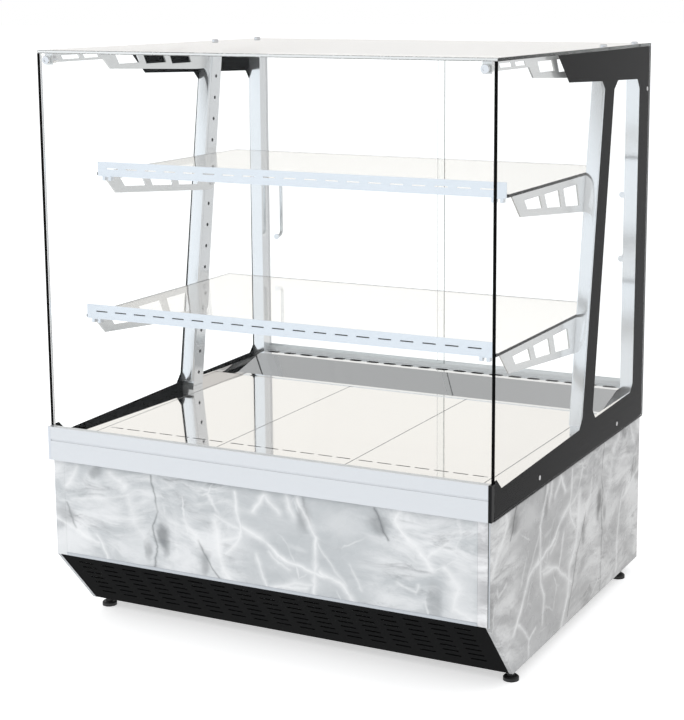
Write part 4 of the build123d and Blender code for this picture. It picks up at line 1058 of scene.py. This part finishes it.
def stage_floor():
    """A plain pale floor that shows white to the camera and keeps a soft shadow."""
    lift_strength = 0.55
    deselect()
    bpy.ops.mesh.primitive_plane_add(size=400.0, location=(0, 0, 0))
    floor = bpy.context.object
    floor.name = "studio_floor"
    material, tree, shader = start_material("Studio floor")
    speckle = noise(tree, object_coords(tree), 3.0, 3.0).outputs["Fac"]
    speckle = remap(tree, speckle, *NOISE_REACH, 0.0, 1.0)
    tone = blend_colour(tree, speckle, (0.93, 0.93, 0.93), (0.95, 0.95, 0.95))
    tree.links.new(tone, shader.inputs["Base Color"])
    shader.inputs["Roughness"].default_value = 0.9
    shader.inputs["Specular IOR Level"].default_value = 0.1
    seen, mirrored = ray_kinds(tree)
    lift = add(tree, "ShaderNodeEmission")
    lifted = math_node(tree, "MULTIPLY", seen, lift_strength)
    tree.links.new(lifted, lift.inputs["Strength"])
    both = add(tree, "ShaderNodeAddShader")
    tree.links.new(shader.outputs[0], both.inputs[0])
    tree.links.new(lift.outputs[0], both.inputs[1])
    spot = split_axes(tree, object_place(tree))
    front = remap(tree, spot["Y"], 0.2, -0.8, 0.0, 1.0, smooth=True)
    right = remap(tree, spot["X"], 0.1, 1.2, 0.0, 1.0, smooth=True)
    room = blend_colour(tree, right, WARM_WALL, (0.66, 0.66, 0.67))
    room = blend_colour(tree, front, room, COOL_WINDOW)
    image = add(tree, "ShaderNodeEmission")
    tree.links.new(room, image.inputs["Color"])
    surface = mix_shaders(tree, mirrored, both.outputs[0], image.outputs[0])
    tree.links.new(surface, tree.nodes["Material Output"].inputs["Surface"])
    floor.data.materials.append(material)


def world_light():
    """White to the camera and through glass; a soft room for light and for reflections."""
    soft_level = 0.72
    world = bpy.data.worlds.new("Studio")
    bpy.context.scene.world = world
    world.use_nodes = True
    tree = world.node_tree
    tree.nodes.clear()
    output = add(tree, "ShaderNodeOutputWorld")
    way = split_axes(tree, add(tree, "ShaderNodeTexCoord").outputs["Generated"])
    front = remap(tree, way["Y"], -0.1, -0.8, 0.0, 1.0, smooth=True)
    right = remap(tree, way["X"], 0.05, 0.4, 0.0, 1.0, smooth=True)
    above = remap(tree, way["Z"], 0.25, 0.5, 0.0, 1.0, smooth=True)
    room = blend_colour(tree, front, WARM_WALL, COOL_WINDOW)
    room = blend_colour(tree, right, room, (0.7, 0.7, 0.71))
    room = blend_colour(tree, above, room, (0.47, 0.47, 0.475))
    glossy = add(tree, "ShaderNodeBackground")
    tree.links.new(room, glossy.inputs["Color"])
    soft = add(tree, "ShaderNodeBackground")
    soft.inputs["Color"].default_value = (0.97, 0.985, 1.0, 1)
    soft.inputs["Strength"].default_value = soft_level
    white = add(tree, "ShaderNodeBackground")
    white.inputs["Color"].default_value = (1, 1, 1, 1)
    seen, mirrored = ray_kinds(tree)
    first = mix_shaders(tree, mirrored, soft.outputs[0], glossy.outputs[0])
    direct = math_node(tree, "SUBTRACT", 1.0, mirrored)
    direct = math_node(tree, "MULTIPLY", seen, direct)
    second = mix_shaders(tree, direct, first, white.outputs[0])
    tree.links.new(second, output.inputs["Surface"])


def lamp(name, at, aim, size, power, colour=(1, 1, 1)):
    data = bpy.data.lights.new(name, "AREA")
    data.shape = "SQUARE"
    data.size = size
    data.energy = power
    data.color = colour
    lit = bpy.data.objects.new(name, data)
    bpy.context.scene.collection.objects.link(lit)
    lit.location = at
    lit.rotation_mode = "QUATERNION"
    lit.rotation_quaternion = (Vector(aim) - Vector(at)).to_track_quat("-Z", "Y")
    lit.visible_camera = False
    lit.visible_glossy = False
    lit.visible_transmission = False


def camera():
    """The photograph's view: place, turn, lens and shift were fitted to the case's corners."""
    eye = (1.6522, -2.7797 + FRONT_Y, 1.3382)
    yaw, pitch, roll = (math.radians(a) for a in (26.081, 10.051, -0.143))
    data = bpy.data.cameras.new("photo_view")
    view = bpy.data.objects.new("photo_view", data)
    bpy.context.scene.collection.objects.link(view)
    level_ahead = Vector((-math.sin(yaw), math.cos(yaw), 0.0))
    ahead = level_ahead * math.cos(pitch) - Vector((0, 0, math.sin(pitch)))
    right = Vector((math.cos(yaw), math.sin(yaw), 0.0))
    up = right.cross(ahead)
    side = right * math.cos(roll) + up * math.sin(roll)
    top = up * math.cos(roll) - right * math.sin(roll)
    turn = Matrix((side, top, -ahead)).transposed()
    view.matrix_world = Matrix.Translation(eye) @ turn.to_4x4()
    data.sensor_width = 36.0
    data.lens = 84.97
    data.shift_x = -0.0694
    data.shift_y = -0.100
    data.clip_start = 0.05
    data.clip_end = 60.0
    bpy.context.scene.camera = view


bpy.context.scene.view_settings.view_transform = "Standard"
stage_floor()
world_light()
lamp("key_light", (-1.8, -3.2, 3.2), (0, 0, 0.5), 2.4, 60.0)
lamp("fill_light", (2.6, 0.4, 2.6), (0, 0, 0.6), 2.4, 12.0, (1.0, 0.98, 0.96))
camera()
